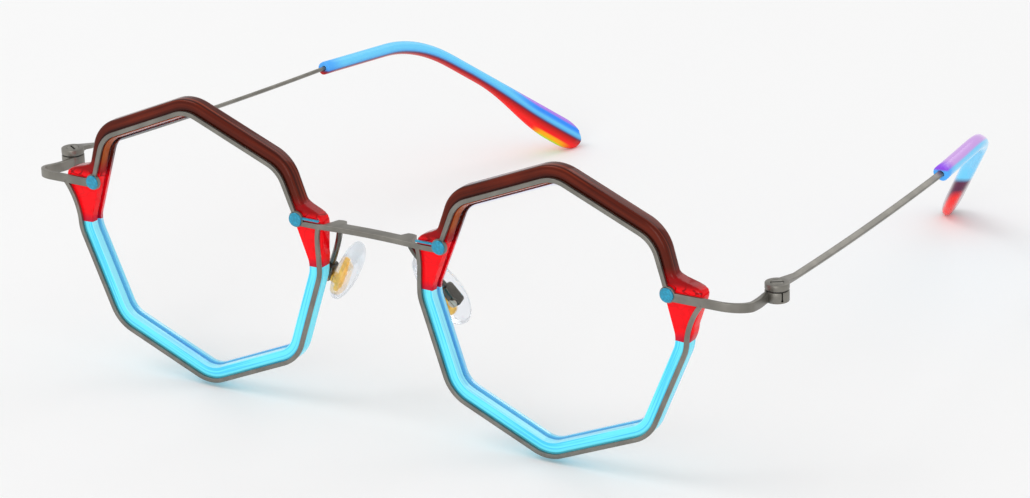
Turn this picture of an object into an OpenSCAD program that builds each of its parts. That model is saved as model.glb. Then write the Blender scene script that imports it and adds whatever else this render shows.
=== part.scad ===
// Geometric eyeglasses. Two octagonal acetate rims, each spliced from four coloured blocks, are
// pinned to a flat metal front. Nose pads rock on the bridge's arms, and the temples fold on screws.
// X runs across the face, -Y is the front, +Z is up. The origin is the middle of the bridge's front
// face. Everything is drawn for the +X side, which is the wearer's left, and mirrored for the other.

/* [Lens outline] */
// Gap between the two lenses at their nearest corners
lens_gap = 24.2; // [20:0.2:27]
// Width of the lens opening
lens_w = 45.8; // [43:0.2:49]
// Height of the lens opening
lens_h = 45.2; // [43:0.2:49]
// Height of the top corner above the bridge
top_rise = 14.9; // [13:0.1:17]
// Width between the two shoulder corners
shoulder_w = 34.8; // [31:0.2:38]
// Height of the shoulder corners above the bridge
shoulder_rise = 7.7; // [6.5:0.05:9.5]
// Depth of the widest corners below the bridge
side_drop = 7.55; // [6.5:0.05:9.5]
// Width between the two chin corners
chin_w = 33.9; // [31:0.1:38]
// Depth of the chin corners below the bridge
chin_drop = 23.2; // [21:0.2:25]
// How far the top corner leans out over the bottom one
lean = 2.1; // [0:0.1:3]
// Radius of the lens corners
corner_r = 4.2; // [2.5:0.1:6]

/* [Acetate rim] */
// Thickness of the acetate from front to back
rim_t = 2.8; // [2.6:0.1:4]
// How far the brow block's front edge stands back from the lens line
brow_slope = 0.6; // [0.5:0.05:0.7]
// How far the lower block's front edge stands back from the lens line
lower_slope = 0.15; // [0:0.05:0.5]
// Width of the brow block outside the lens line
brow_band = 3.5; // [2.8:0.1:4.5]
// Width of the rim on its flanks outside the lens line
flank_band = 3.1; // [2.4:0.1:4]
// Width of the lower block outside the lens line
lower_band = 2.6; // [2.5:0.1:4]
// How far the lug reaches past the flank at the temple
side_lug = 4.7; // [3:0.1:5]
// How far the lug reaches past the flank at the nose
nose_lug = 3.1; // [2:0.1:3.4]
// Depth below the bridge where the lug reaches furthest
lug_drop = 1.2; // [0.6:0.1:2]
// Height over which the lug falls back
lug_fall = 4; // [3:0.1:5]
// Height above the bridge of the splice between the brow and the red blocks
splice_rise = 2; // [1.6:0.1:4]
// Distance of the lens groove behind the acetate's front face
groove_back = 1.3; // [1.1:0.05:1.5]
// Depth of the lens groove
groove_depth = 0.5; // [0.3:0.05:0.6]
// Width of the lens groove
groove_w = 0.8; // [0.6:0.05:1]
// How far the back lip reaches over the lens
back_lip = 0.1; // [0.05:0.05:0.4]

/* [Lens] */
// Thickness of the lens
lens_t = 1.2; // [1:0.1:1.4]
// Play of the lens in its groove
lens_play = 0.05; // [0.03:0.01:0.1]

/* [Metal front] */
// Thickness of the sheet that the metal front is cut from
sheet_t = 0.6; // [0.5:0.05:0.8]
// Width of the flat wires seen from the front
wire_w = 0.75; // [0.6:0.05:1.2]
// Distance of the brow wire's middle outside the lens line
brow_offset = 1.2; // [1:0.05:1.4]
// Distance of the lower wire's middle outside the lens line
lower_offset = 2.4; // [2:0.05:2.5]
// Where the lower wire meets the nose bar, from the middle
wire_nose_x = 9.9; // [9:0.1:11]
// Where the lower wire meets the temple bar, from the middle
wire_side_x = 62.5; // [61.5:0.1:63.5]
// Height of the bridge's front face
bridge_h = 0.95; // [0.8:0.05:1.2]
// Depth of the bridge
bridge_d = 2.2; // [1.8:0.1:2.8]
// How far the bridge's middle bows up
bridge_bow = 0.25; // [0:0.05:0.6]
// Depth of the bridge where it holds the pad arms
lobe_d = 3.6; // [3.2:0.1:4]
// Height of the temple bar
bar_h = 1.5; // [1.3:0.1:1.9]
// Distance of the temple bar's middle below the bridge's
bar_sink = 0.14; // [0:0.02:0.3]

/* [Rivets] */
// Diameter of the rivet caps
cap_dia = 2.45; // [2.2:0.05:3]
// Height of the rivet caps
cap_h = 0.4; // [0.4:0.05:1]
// Diameter of the eyes under the caps
eye_dia = 2.8; // [2.7:0.05:3.3]
// Diameter of the rivet pins
pin_dia = 0.9; // [0.7:0.05:1]
// Length of the rivet pins
pin_len = 2.1; // [1.6:0.1:2.6]
// Radial play of the pins
pin_play = 0.02; // [0.01:0.01:0.05]
// Height of the nose rivet above the bridge's middle
nose_rivet_rise = 0.65; // [0.4:0.05:0.9]
// Height of the temple rivet above the bridge's middle
side_rivet_rise = 0.15; // [0:0.05:0.3]
// Distance of the nose cap's tail end from the middle
tail_x = 9.6; // [9:0.1:11]

/* [Hinge] */
// Distance of the hinge axis from the middle
hinge_x = 70.1; // [68.5:0.1:73]
// Distance of the hinge axis behind the front
hinge_y = 11.7; // [10:0.1:16]
// Outside radius of the bend in the end piece
bend_r = 4.2; // [3.5:0.1:5]
// Diameter of the barrel
barrel_dia = 4; // [3.6:0.1:4.6]
// Height of the barrel ring on the front
ring_h = 1.85; // [1.4:0.05:2.4]
// Height of the knuckle on the temple
knuckle_h = 1.05; // [0.9:0.05:1.4]
// Height of the knuckle's top above the bridge's middle
knuckle_top = 0.75; // [0.6:0.05:0.9]
// Thickness of the washer
washer_t = 0.15; // [0.1:0.01:0.25]
// Play above and below the washer
washer_play = 0.02; // [0.01:0.01:0.05]
// Diameter of the hinge screw's shank
screw_dia = 1.2; // [1:0.1:1.4]
// Diameter of the hinge screw's head
head_dia = 2.1; // [1.9:0.1:2.4]
// Height of the hinge screw's head
head_h = 0.4; // [0.3:0.05:0.5]
// Radial play between the screw and the knuckle
hinge_play = 0.04; // [0.02:0.01:0.08]

/* [Temple] */
// Length of the bare wire from the hinge axis to the tip
wire_len = 70.9; // [60:0.1:80]
// Inward slope of the temple, in degrees
wire_toe = 4.15; // [2:0.05:6]
// How far the middle of the bare wire sags
wire_sag = 0.5; // [0:0.1:1]
// Downward slope of the temple, in degrees
wire_fall = 3.5; // [2:0.1:5]
// Broad side of the flat wire
wire_broad = 1.15; // [1:0.05:1.3]
// Narrow side of the flat wire
wire_thin = 0.68; // [0.5:0.02:0.8]
// Roll of the flat wire about its own length, in degrees
wire_roll = 32; // [0:1:45]
// Length of the tip from its mouth to the ear bend
tip_straight = 26.7; // [20:0.1:32]
// Length of the tip from the ear bend to its end
tip_leg = 43.6; // [36:0.2:46]
// Inward slope of the tip before the ear bend, in degrees
tip_toe = 8; // [4:0.5:10]
// Downward slope of the leg behind the ear, in degrees
leg_fall = 35.5; // [30:0.5:42]
// Inward slope of the leg behind the ear, in degrees
leg_toe = 34; // [20:0.5:40]
// Length of the ear bend on each side of its corner
ear_bend = 9; // [6:0.5:12]
// Width of the tip across
tip_w = 2.9; // [2.4:0.1:3.4]
// Height of the tip above the wire
tip_up = 1.25; // [1:0.05:1.6]
// Height of the tip below the wire at its mouth
tip_low = 1.15; // [1:0.05:1.6]
// Height of the tip below the wire at the broad end
tip_paddle = 4.7; // [3:0.1:6]
// Play round the wire inside the tip
core_play = 0.05; // [0.03:0.01:0.1]

/* [Nose pads] */
// Distance of the pad's middle from the mirror plane
pad_x = 9.3; // [8.8:0.1:11]
// Distance of the pad's middle behind the front
pad_y = 7.8; // [7.6:0.1:10]
// Depth of the pad's middle below the bridge
pad_drop = 10.1; // [9:0.1:11]
// Length of the pad
pad_len = 14.6; // [13:0.1:15.5]
// Width of the pad
pad_w = 7.6; // [6:0.1:7.8]
// Thickness of the pad
pad_t = 2.4; // [2:0.1:3]
// Forward tilt of the pad's top, in degrees
pad_pitch = 21; // [12:0.5:24]
// Lean of the pad's top towards the nose, in degrees
pad_lean = 29.5; // [20:0.5:32]
// Turn of the pad about the upright, in degrees
pad_splay = 5.5; // [2:0.5:12]
// Width, depth and height of the pad box
box_size = [1.9, 2.2, 4]; // [1.8:0.1:4.4]
// Distance of the pad box's middle from the pad's middle
box_out = 2.6; // [2.5:0.1:3]
// Distance of the pad box's middle in front of the pad's middle
box_fwd = 1.5; // [0.8:0.1:1.8]
// Height of the pad box's middle above the pad's middle
box_up = -1.1; // [-1.5:0.1:0]
// Diameter of the pad screw's shank
pad_screw_dia = 0.9; // [0.7:0.1:1]
// Diameter of the wire of the pad arm
arm_dia = 1.05; // [0.8:0.05:1.2]
// Distance of the arm's root from the middle
arm_x = 6.9; // [6:0.1:8]
// Distance of the arm's root behind the front
arm_y = 2.4; // [1.8:0.1:2.8]

/* [Hidden] */
$fn = 48;

// Steps in each rounded corner, and sides of a round section that is skinned
corner_steps = 5;
round_sides = 16;

// Corner numbers, counted anticlockwise from the temple side as seen from the front
SIDE = 0;
SHOULDER = 1;
TOP = 2;
NOSE_SHOULDER = 3;
NOSE = 4;
NOSE_CHIN = 5;
BOTTOM = 6;
CHIN = 7;

// The lens outline's sharp corners
lens_x = lens_gap / 2 + lens_w / 2;
bottom_drop = lens_h - top_rise;
function leaning(z) = lean * (z + side_drop) / lens_h;
function corner(x, z) = [lens_x + x + leaning(z), z];
corners = [
    corner(lens_w / 2, -side_drop), corner(shoulder_w / 2, shoulder_rise), corner(0, top_rise),
    corner(-shoulder_w / 2, shoulder_rise), corner(-lens_w / 2, -side_drop),
    corner(-chin_w / 2, -chin_drop), corner(0, -bottom_drop), corner(chin_w / 2, -chin_drop)
];
sides = len(corners);

// All outlines round the lens share the centres of its corner arcs, so they stay parallel
function polar(a) = [cos(a), sin(a)];
function lerp(a, b, t) = a + (b - a) * t;
function reversed(list) = [for (i = [len(list) - 1:-1:0]) list[i]];
function smooth(t) = (1 - cos(180 * max(0, min(1, t)))) / 2;
function next(i) = (i + 1) % sides;
function side_dir(i) = corners[next(i)] - corners[i % sides];
function raw_angle(i) = atan2(-side_dir(i)[0], side_dir(i)[1]);
function side_angle(i) =
    i < 0 ? side_angle(i + sides) - 360 : raw_angle(i) + (raw_angle(i) < raw_angle(0) ? 360 : 0);
function arc_centre(i) =
    let (n = polar(side_angle(i - 1)), m = polar(side_angle(i)))
    corners[i] - corner_r * (n + m) / (1 + n * m);
centres = [for (i = [0:sides - 1]) arc_centre(i)];

// A station is an arc centre and the direction of the outline's normal. It lies a share f along
// corner i's arc, or a share t along the straight side from corner i to the next.
function at_arc(i, f) = [centres[i], lerp(side_angle(i - 1), side_angle(i), f)];
function at_side(i, t) = [lerp(centres[i], centres[next(i)], t), side_angle(i)];
function side_share(i, z) =
    (z - centres[i][1] - corner_r * sin(side_angle(i))) / (centres[next(i)][1] - centres[i][1]);
function place(station, d) = station[0] + (corner_r + d) * polar(station[1]);
function arc_points(i, d, f0 = 0, f1 = 1) =
    [for (k = [0:corner_steps]) place(at_arc(i, lerp(f0, f1, k / corner_steps)), d)];
function side_point(i, z, d) =
    let (p = corners[i] + d * polar(side_angle(i)), v = side_dir(i))
    [p[0] + (z - p[1]) * v[0] / v[1], z];

// Heights and places that several pieces share
rim_back = sheet_t + rim_t;
groove_y = sheet_t + groove_back;
side_rivet = side_point(SIDE, side_rivet_rise, brow_offset);
nose_rivet = side_point(NOSE_SHOULDER, nose_rivet_rise, brow_offset);
bar_low = -bar_sink - bar_h / 2;
bar_top = -bar_sink + bar_h / 2;
knuckle_low = knuckle_top - knuckle_h;
ring_top = knuckle_low - washer_t - 2 * washer_play;
ring_low = ring_top - ring_h;

// Draws a child given in the plane seen from the front, from depth y0 to depth y1
module slab(y0, y1) {
    translate([0, y1, 0]) rotate([90, 0, 0]) linear_extrude(y1 - y0) children();
}

module rod_y(x, z, r, y0, y1) {
    translate([x, y1, z]) rotate([90, 0, 0]) cylinder(r = r, h = y1 - y0);
}

module block(low, high) {
    translate(low) cube(high - low);
}

// A closed skin over rings of points that all run the same way round
module skin(rings) {
    n = len(rings);
    m = len(rings[0]);
    polyhedron(
        points = [for (ring = rings) each ring],
        faces = concat(
            [[for (j = [0:m - 1]) j]],
            [[for (j = [m - 1:-1:0]) (n - 1) * m + j]],
            [for (i = [0:n - 2], j = [0:m - 1]) [i * m + j, (i + 1) * m + j, (i + 1) * m + (j + 1) % m]],
            [for (i = [0:n - 2], j = [0:m - 1]) [i * m + j, (i + 1) * m + (j + 1) % m, i * m + (j + 1) % m]]
        )
    );
}

// Half widths of a line drawn to both sides of a path
function normal_2d(path, i) =
    let (v = path[min(i + 1, len(path) - 1)] - path[max(i - 1, 0)]) [v[1], -v[0]] / norm(v);
module stroke(path, w) {
    n = len(path);
    polygon(concat(
        [for (i = [0:n - 1]) path[i] + normal_2d(path, i) * w / 2],
        [for (i = [n - 1:-1:0]) path[i] - normal_2d(path, i) * w / 2]
    ));
}
function bezier(a, b, c, d, t) =
    a * pow(1 - t, 3) + 3 * b * t * pow(1 - t, 2) + 3 * c * t * t * (1 - t) + d * pow(t, 3);

// The acetate rim. Its section is drawn as [distance outside the lens line, depth].
edge_round = 0.7;
function rim_section(band, slope) = [
    [slope, sheet_t],
    [slope * 0.4, groove_y],
    [groove_depth, groove_y],
    [groove_depth, groove_y + groove_w],
    [-back_lip, groove_y + groove_w],
    [-back_lip, rim_back - 0.2],
    [0.1, rim_back],
    [band - edge_round, rim_back],
    [band - edge_round * 0.3, rim_back - edge_round * 0.3],
    [band, rim_back - edge_round],
    [band, sheet_t + edge_round],
    [band - edge_round * 0.3, sheet_t + edge_round * 0.3],
    [band - edge_round, sheet_t]
];
function share(z) = max(0, min(1, (z + side_drop) / (side_drop + shoulder_rise)));
// The lug's lower edge runs straight for this share of its rise, then rounds off
lug_straight = 0.8;
function eased(t) =
    let (rest = 1 - lug_straight)
    t < lug_straight ? t : lug_straight + rest * sin(90 * (t - lug_straight) / rest) * 2 / PI;
function lug_rise(z) =
    z < -lug_drop ? eased(max(0, (z + side_drop) / (side_drop - lug_drop)))
    : eased(1) * smooth((lug_fall - lug_drop - z) / lug_fall);
function flank_width(reach, z) = lerp(lower_band, flank_band, share(z)) + reach * lug_rise(z);
function reach_at(i) = i == SIDE || i == SHOULDER ? side_lug : nose_lug;
function width_at(i, f, z) =
    i == TOP ? brow_band
    : i == SHOULDER ? lerp(flank_width(side_lug, z), brow_band, f)
    : i == NOSE_SHOULDER ? lerp(brow_band, flank_width(nose_lug, z), f)
    : i == SIDE || i == NOSE ? flank_width(reach_at(i), z)
    : lower_band;
function slope_at(z) = lerp(lower_slope, brow_slope, share(z));
function ring_at(station, band) =
    let (slope = slope_at(place(station, 0)[1]))
    [for (p = rim_section(band, slope)) let (q = place(station, p[0])) [q[0], p[1], q[1]]];
function corner_rings(i, f0 = 0, f1 = 1, steps = corner_steps) = [
    for (k = [0:steps]) let (f = lerp(f0, f1, k / steps), station = at_arc(i, f))
        ring_at(station, width_at(i, f, place(station, 0)[1]))
];
function flank_rings(i, z0, z1, steps) = [
    for (k = [0:steps]) let (z = lerp(z0, z1, k / steps))
        ring_at(at_side(i, side_share(i, z)), flank_width(reach_at(i), z))
];
flank_low = centres[SIDE][1] + (corner_r + 0.01) * sin(side_angle(SIDE));
flank_high = centres[SHOULDER][1] + (corner_r - 0.01) * sin(side_angle(SIDE));
nose_low = centres[NOSE][1] + (corner_r + 0.01) * sin(side_angle(NOSE_SHOULDER));
nose_high = centres[NOSE_SHOULDER][1] + (corner_r - 0.01) * sin(side_angle(NOSE_SHOULDER));
flank_steps = 9;

module brow_block() {
    color("saddlebrown") skin(concat(
        flank_rings(SIDE, splice_rise, flank_high, flank_steps),
        corner_rings(SHOULDER), corner_rings(TOP), corner_rings(NOSE_SHOULDER),
        flank_rings(NOSE_SHOULDER, nose_high, splice_rise, flank_steps)
    ));
}

module lower_block() {
    color("deepskyblue") skin(concat(
        corner_rings(NOSE, 0.5), corner_rings(NOSE_CHIN), corner_rings(BOTTOM), corner_rings(CHIN),
        corner_rings(SIDE, 0, 0.5)
    ));
}

module side_block() {
    color("red") difference() {
        skin(concat(corner_rings(SIDE, 0.5, 1, 3), flank_rings(SIDE, flank_low, splice_rise, flank_steps)));
        rivet_hole(side_rivet);
    }
}

module nose_block() {
    color("red") difference() {
        skin(concat(flank_rings(NOSE_SHOULDER, splice_rise, nose_low, flank_steps), corner_rings(NOSE, 0, 0.5, 3)));
        rivet_hole(nose_rivet);
    }
}

module rivet_hole(at) {
    rod_y(at[0], at[1], pin_dia / 2 + pin_play, 0, pin_len + pin_play);
}

function lens_outline(d) = [for (i = [0:sides - 1]) each arc_points(i, d)];

module lens() {
    front = groove_y + lens_play;
    color("aliceblue") union() {
        slab(front, groove_y + groove_w - lens_play) polygon(lens_outline(groove_depth - lens_play));
        slab(front, front + lens_t) polygon(lens_outline(-back_lip - lens_play));
    }
}

// The metal front
module brow_wire() {
    color("dimgray") difference() {
        slab(0, sheet_t) stroke(concat(
            [side_rivet], arc_points(SHOULDER, brow_offset), arc_points(TOP, brow_offset),
            arc_points(NOSE_SHOULDER, brow_offset), [nose_rivet]
        ), wire_w);
        rod_y(side_rivet[0], side_rivet[1], eye_dia / 2, -1, sheet_t + 1);
        rod_y(nose_rivet[0], nose_rivet[1], eye_dia / 2, -1, sheet_t + 1);
        block(
            [0, -1, -bridge_h / 2],
            [nose_rivet[0], sheet_t + 1, bridge_h / 2]
        );
    }
}

curve_steps = 8;
module lower_wire() {
    side_start = [wire_side_x, bar_low];
    nose_start = [wire_nose_x, -bridge_h / 2];
    side_end = place(at_arc(SIDE, 0.5), lower_offset);
    nose_end = place(at_arc(NOSE, 0.5), lower_offset);
    side_curve = [for (k = [0:curve_steps])
        bezier(side_end, side_end + [0.1, 2.6], side_start - [1.2, 1.6], side_start, k / curve_steps)];
    nose_curve = [for (k = [0:curve_steps])
        bezier(nose_start, nose_start + [0.5, -2.4], nose_end + [0, 2.4], nose_end, k / curve_steps)];
    color("dimgray") difference() {
        slab(0, sheet_t) stroke(concat(
            [nose_start + [0, bridge_h / 2]], nose_curve,
            arc_points(NOSE, lower_offset, 0.6, 1), arc_points(NOSE_CHIN, lower_offset),
            arc_points(BOTTOM, lower_offset), arc_points(CHIN, lower_offset),
            arc_points(SIDE, lower_offset, 0, 0.4), side_curve, [side_start + [0.4, bar_h / 2]]
        ), wire_w);
        block([0, -1, -bridge_h / 2], [side_rivet[0], sheet_t + 1, bridge_h / 2]);
        block([side_rivet[0], -1, bar_low], [hinge_x, sheet_t + 1, bar_top]);
    }
}

// The bridge runs from one nose rivet to the other, and widens backwards where it holds the pad arms
bridge_half = wire_nose_x + 0.4;
function bow(x) = bridge_bow * (1 - pow(x / bridge_half, 2));
half_plan = [
    [bridge_half, 0], [bridge_half, sheet_t], [arm_x + 2, sheet_t], [arm_x + 1.4, bridge_d], [arm_x + 0.8, lobe_d - 0.1],
    [arm_x, lobe_d], [arm_x - 0.7, lobe_d - 0.1], [arm_x - 1.5, bridge_d]
];
module bridge() {
    xs = [for (k = [-6:6]) bridge_half * k / 6];
    last = len(half_plan) - 1;
    color("dimgray") union() {
        intersection() {
            slab(0, lobe_d) polygon(concat(
                [for (x = xs) [x, bow(x) - bridge_h / 2]],
                [for (k = [len(xs) - 1:-1:0]) [xs[k], bow(xs[k]) + bridge_h / 2]]
            ));
            translate([0, 0, -bridge_h]) linear_extrude(2 * bridge_h + bridge_bow)
                polygon(concat(half_plan, [for (k = [last:-1:0]) [-half_plan[k][0], half_plan[k][1]]]));
        }
        for (m = [0, 1]) mirror([m, 0, 0]) bridge_side();
    }
}

// The eyes under the caps stand back a little, so that the bridge's front face lies free
face_step = 0.02;
module bridge_side() {
    difference() {
        union() {
            block([bridge_half - 1, face_step, -bridge_h / 2], [nose_rivet[0], sheet_t, bridge_h / 2]);
            rod_y(nose_rivet[0], nose_rivet[1], eye_dia / 2, face_step, sheet_t);
        }
        rod_y(nose_rivet[0], nose_rivet[1], pin_dia / 2 + pin_play, -1, sheet_t + 1);
        block(tail_low - [1, 1, tail_play], tail_high + [tail_play, tail_play, tail_play]);
    }
}

// The nose cap's tail runs a little above the bar, from under the cap to its free end
tail_play = 0.05;
tail_low = [tail_x, 0, nose_rivet[1] + 0.15];
tail_high = [nose_rivet[0] - pin_dia / 2 - 0.2, 0.4, nose_rivet[1] + 0.5];

module rivet(at) {
    rod_y(at[0], at[1], cap_dia / 2, -cap_h, 0);
    rod_y(at[0], at[1], pin_dia / 2, -cap_h, pin_len);
}

module side_rivet() {
    color("teal") rivet(side_rivet);
}

module nose_rivet() {
    color("teal") union() {
        rivet(nose_rivet);
        block(tail_low, tail_high);
        block([tail_high[0] - 0.6, -cap_h / 2, tail_low[2]], [tail_high[0], 0, tail_high[2]]);
    }
}

// The end piece runs from the temple rivet round the bend, drops along its leg and ends in the ring
bend_x = hinge_x - bend_r;
ring_front = hinge_y - barrel_dia / 2;
bend_sides = 16;
function bend_points(r) =
    [for (k = [0:bend_sides]) [bend_x, bend_r] + r * polar(-90 + 90 * k / bend_sides)];
leg_drop = bar_top - ring_top;
leg_lean = 0.5;
weld = 0.02;
// The leg grows from the bar's section to the ring's height
leg_growth = 0.3;
function leg_ring(y, x, drop, share) =
    let (x0 = x - sheet_t - leg_growth * share + weld, x1 = x - weld)
    let (z0 = lerp(bar_low, bar_top - ring_h, share) - drop + weld, z1 = bar_top - drop - weld)
    [[x1, y, z0], [x0, y, z0], [x0, y, z1], [x1, y, z1]];
module end_piece() {
    seam_angle = -38;
    color("dimgray") difference() {
        union() {
            translate([0, 0, bar_low]) linear_extrude(bar_h) polygon(concat(
                [[side_rivet[0], sheet_t], [side_rivet[0], 0]], bend_points(bend_r),
                reversed(bend_points(bend_r - sheet_t))
            ));
            rod_y(side_rivet[0], side_rivet[1], eye_dia / 2, 0, sheet_t);
            skin([
                leg_ring(bend_r - 0.3, hinge_x, 0, 0), leg_ring(bend_r, hinge_x, 0, 0),
                leg_ring(ring_front - 0.6, hinge_x - leg_lean, leg_drop, 1),
                leg_ring(ring_front + 0.9, hinge_x - leg_lean, leg_drop, 1)
            ]);
            translate([hinge_x, hinge_y, ring_low]) cylinder(d = barrel_dia, h = ring_h);
        }
        rod_y(side_rivet[0], side_rivet[1], pin_dia / 2 + pin_play, -1, sheet_t + 1);
        translate([hinge_x, hinge_y, ring_low - 1]) cylinder(r = screw_dia / 2 + pin_play, h = ring_h + 2);
        translate([hinge_x, hinge_y, ring_low + 0.3]) rotate([0, 0, seam_angle])
            translate([0, -0.12, 0]) cube([barrel_dia, 0.24, ring_h]);
    }
}

// The hinge
module at_hinge() {
    translate([hinge_x, hinge_y, 0]) children();
}

module hinge_screw() {
    color("gray") at_hinge() difference() {
        union() {
            translate([0, 0, ring_low]) cylinder(d = screw_dia, h = knuckle_top - ring_low - 0.1);
            translate([0, 0, knuckle_top - head_h]) cylinder(d = head_dia, h = head_h);
        }
        translate([-head_dia, -0.15, knuckle_top - 0.2]) cube([2 * head_dia, 0.3, 1]);
    }
}

module hinge_washer() {
    color("silver") at_hinge() translate([0, 0, ring_top + washer_play]) difference() {
        cylinder(d = barrel_dia - 0.3, h = washer_t);
        translate([0, 0, -1]) cylinder(r = screw_dia / 2 + hinge_play, h = washer_t + 2);
    }
}

// The temple runs along its own directions, given as slopes in degrees
function heading(toe, fall) = [-sin(toe) * cos(fall), cos(toe) * cos(fall), -sin(fall)];
wire_way = heading(wire_toe, wire_fall);
leg_way = heading(leg_toe, leg_fall);
temple_root = [hinge_x, hinge_y, (knuckle_top + knuckle_low) / 2 - 0.45];
tip_mouth = temple_root + wire_way * wire_len;
tip_way = heading(tip_toe, wire_fall);
ear = tip_mouth + tip_way * tip_straight;

// Points along the temple's middle line, from the tip's mouth to a share of its leg
bend_steps = 6;
function temple_line(leg_end) = concat(
    [tip_mouth],
    [for (k = [0:bend_steps]) let (t = k / bend_steps)
        bezier(ear - tip_way * ear_bend, ear - tip_way * ear_bend / 3,
            ear + leg_way * ear_bend / 3, ear + leg_way * ear_bend, t)],
    [for (f = [0.3:0.1:leg_end]) ear + leg_way * tip_leg * f]
);
function way(line, i) =
    let (v = line[min(i + 1, len(line) - 1)] - line[max(i - 1, 0)]) v / norm(v);
function across(t) = let (h = cross(t, [0, 0, 1])) h / norm(h);
function section_ring(at, t, roll, points) =
    let (h = across(t), v = cross(h, t), a = h * cos(roll) - v * sin(roll), b = v * cos(roll) + h * sin(roll))
    [for (p = reversed(points)) at + a * p[0] + b * p[1]];

// A flat bar's section with cut corners
function flat(w, h) =
    let (a = w / 2, b = h / 2, c = min(w, h) * 0.28)
    [[a, -b + c], [a, b - c], [a - c, b], [-a + c, b], [-a, b - c], [-a, -b + c], [-a + c, -b], [a - c, -b]];
core_end = 0.7;
function core_rings(line, points) =
    [for (i = [0:len(line) - 1]) section_ring(line[i], way(line, i), wire_roll, points)];
function wire_rings() = core_rings(temple_line(core_end), flat(wire_broad, wire_thin));
function bore_rings() =
    let (side = wire_broad / 2 + 2 * core_play, up = wire_thin / 2 + 3 * core_play)
    core_rings(concat(temple_line(core_end), [ear + leg_way * tip_leg * (core_end + 0.01)]), oval(side, up, up));

root_len = 7;
function wire_point(f) = temple_root + wire_way * wire_len * f - [0, 0, wire_sag * 4 * f * (1 - f)];
module temple_wire() {
    root = flat(2.2, knuckle_h - 0.1);
    color("dimgray") difference() {
        union() {
            at_hinge() translate([0, 0, knuckle_low]) cylinder(d = barrel_dia, h = knuckle_h);
            skin(concat(
                [section_ring(temple_root + [0, 0.8, 0.4], [0, 1, 0], 0, root)],
                [section_ring(temple_root + [0, 2.4, 0.3], [0, 1, 0], 0, flat(2, 0.8))],
                [for (f = [root_len / wire_len, 0.25, 0.4, 0.55, 0.7, 0.85])
                    section_ring(wire_point(f), wire_way, wire_roll, flat(wire_broad, wire_thin))],
                wire_rings()
            ));
        }
        at_hinge() translate([0, 0, knuckle_low - 1])
            cylinder(r = screw_dia / 2 + hinge_play, h = knuckle_h + 2);
        at_hinge() translate([0, 0, knuckle_top - head_h - hinge_play])
            cylinder(r = head_dia / 2 + hinge_play, h = head_h + 1);
    }
}

// The tip is round at its mouth and widens below the wire into a paddle
function oval(side, up, low) = [
    for (k = [0:round_sides - 1]) let (a = 360 * k / round_sides)
        [side * cos(a), (sin(a) > 0 ? up : low) * sin(a)]
];
paddle_from = 0.38;
paddle_to = 0.82;
cap_from = 0.88;
function paddle(f) = lerp(tip_low, tip_paddle, smooth((f - paddle_from) / (paddle_to - paddle_from)));
function close(f) = f < cap_from ? 1 : sqrt(max(0.02, 1 - pow((f - cap_from) / (1 - cap_from), 2)));
function paddle_ring(f) =
    let (c = close(f), low = paddle(f), lift = (tip_up - low) / 2)
    section_ring(ear + leg_way * tip_leg * f, leg_way, wire_roll,
        [for (p = oval(tip_w / 2 * (0.4 + 0.6 * c), tip_up, low)) [p[0], lift + (p[1] - lift) * c]]);
function tip_rings() =
    let (line = temple_line(0.2))
    concat(
        [for (i = [0:len(line) - 1]) section_ring(line[i], way(line, i), wire_roll, oval(tip_w / 2, tip_up, tip_low))],
        [for (f = [0.3, 0.38, 0.45, 0.52, 0.59, 0.66, 0.73, 0.8, 0.88, 0.92, 0.95, 0.975, 0.99, 1]) paddle_ring(f)]
    );

// The skin runs from the tip's end back to its mouth, and from there along the bore to the bore's end
module temple_tip() {
    rings = concat(reversed(tip_rings()), bore_rings());
    color("royalblue") skin([for (ring = rings) reversed(ring)]);
}

// The nose pad's own frame: X points away from the nose, Y to the back and Z up
module at_pad() {
    translate([pad_x, pad_y, -pad_drop]) rotate([pad_pitch, -pad_lean, -pad_splay]) children();
}
box_at = [box_out, -box_fwd, box_up];
screw_at = box_at - [0, 0, box_size[2] / 2 - 1];
post_w = 1.2;
post_r = 0.75;
post_play = 0.12;
pad_screw_r = pad_screw_dia / 2;

module pad_rod(r, y0, y1) {
    translate(screw_at) rod_y(0, 0, r, y0, y1);
}

// The insert's plate lies behind its post, and is drawn seen from the side: back and up
plate_t = 0.6;
plate_outline = [
    [-2.9, -3.4], [-2.2, -4.4], [-0.8, -4.4], [0, -3.4],
    [0, 1.5], [-1.1, 4.6], [-1.9, 4.6], [-2.9, 1.5]
];
module pad_insert_shape(grow) {
    post = [screw_at[0] - 0.3, post_w / 2 + grow, post_r + grow];
    translate([0.2 - plate_t / 2 - grow, 0, 0]) rotate([90, 0, 90])
        linear_extrude(plate_t + 2 * grow) offset(delta = grow) polygon(plate_outline);
    block([0.3, screw_at[1] - post[1], screw_at[2] - post[2]], screw_at + [0, post[1], post[2]]);
    pad_rod(post_r + grow, -post_w / 2 - grow, post_w / 2 + grow);
}

module pad_insert() {
    color("goldenrod") at_pad() difference() {
        pad_insert_shape(0);
        pad_rod(pad_screw_r + hinge_play, -post_w, post_w);
    }
}

module nose_pad() {
    // Shares of the half thickness and the outline's size at each level
    levels = [[-1, 0.72], [-0.75, 0.9], [-0.2, 1], [0.35, 0.98], [0.8, 0.86], [1, 0.7]];
    color("whitesmoke") at_pad() difference() {
        skin([for (v = levels) [for (k = [0:2 * round_sides - 1])
            let (a = 180 * k / round_sides, taper = 1 - 0.16 * sin(a))
            [v[0] * pad_t / 2, pad_w / 2 * v[1] * cos(a) * taper, pad_len / 2 * v[1] * sin(a)]]]);
        pad_insert_shape(0.03);
    }
}

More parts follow.
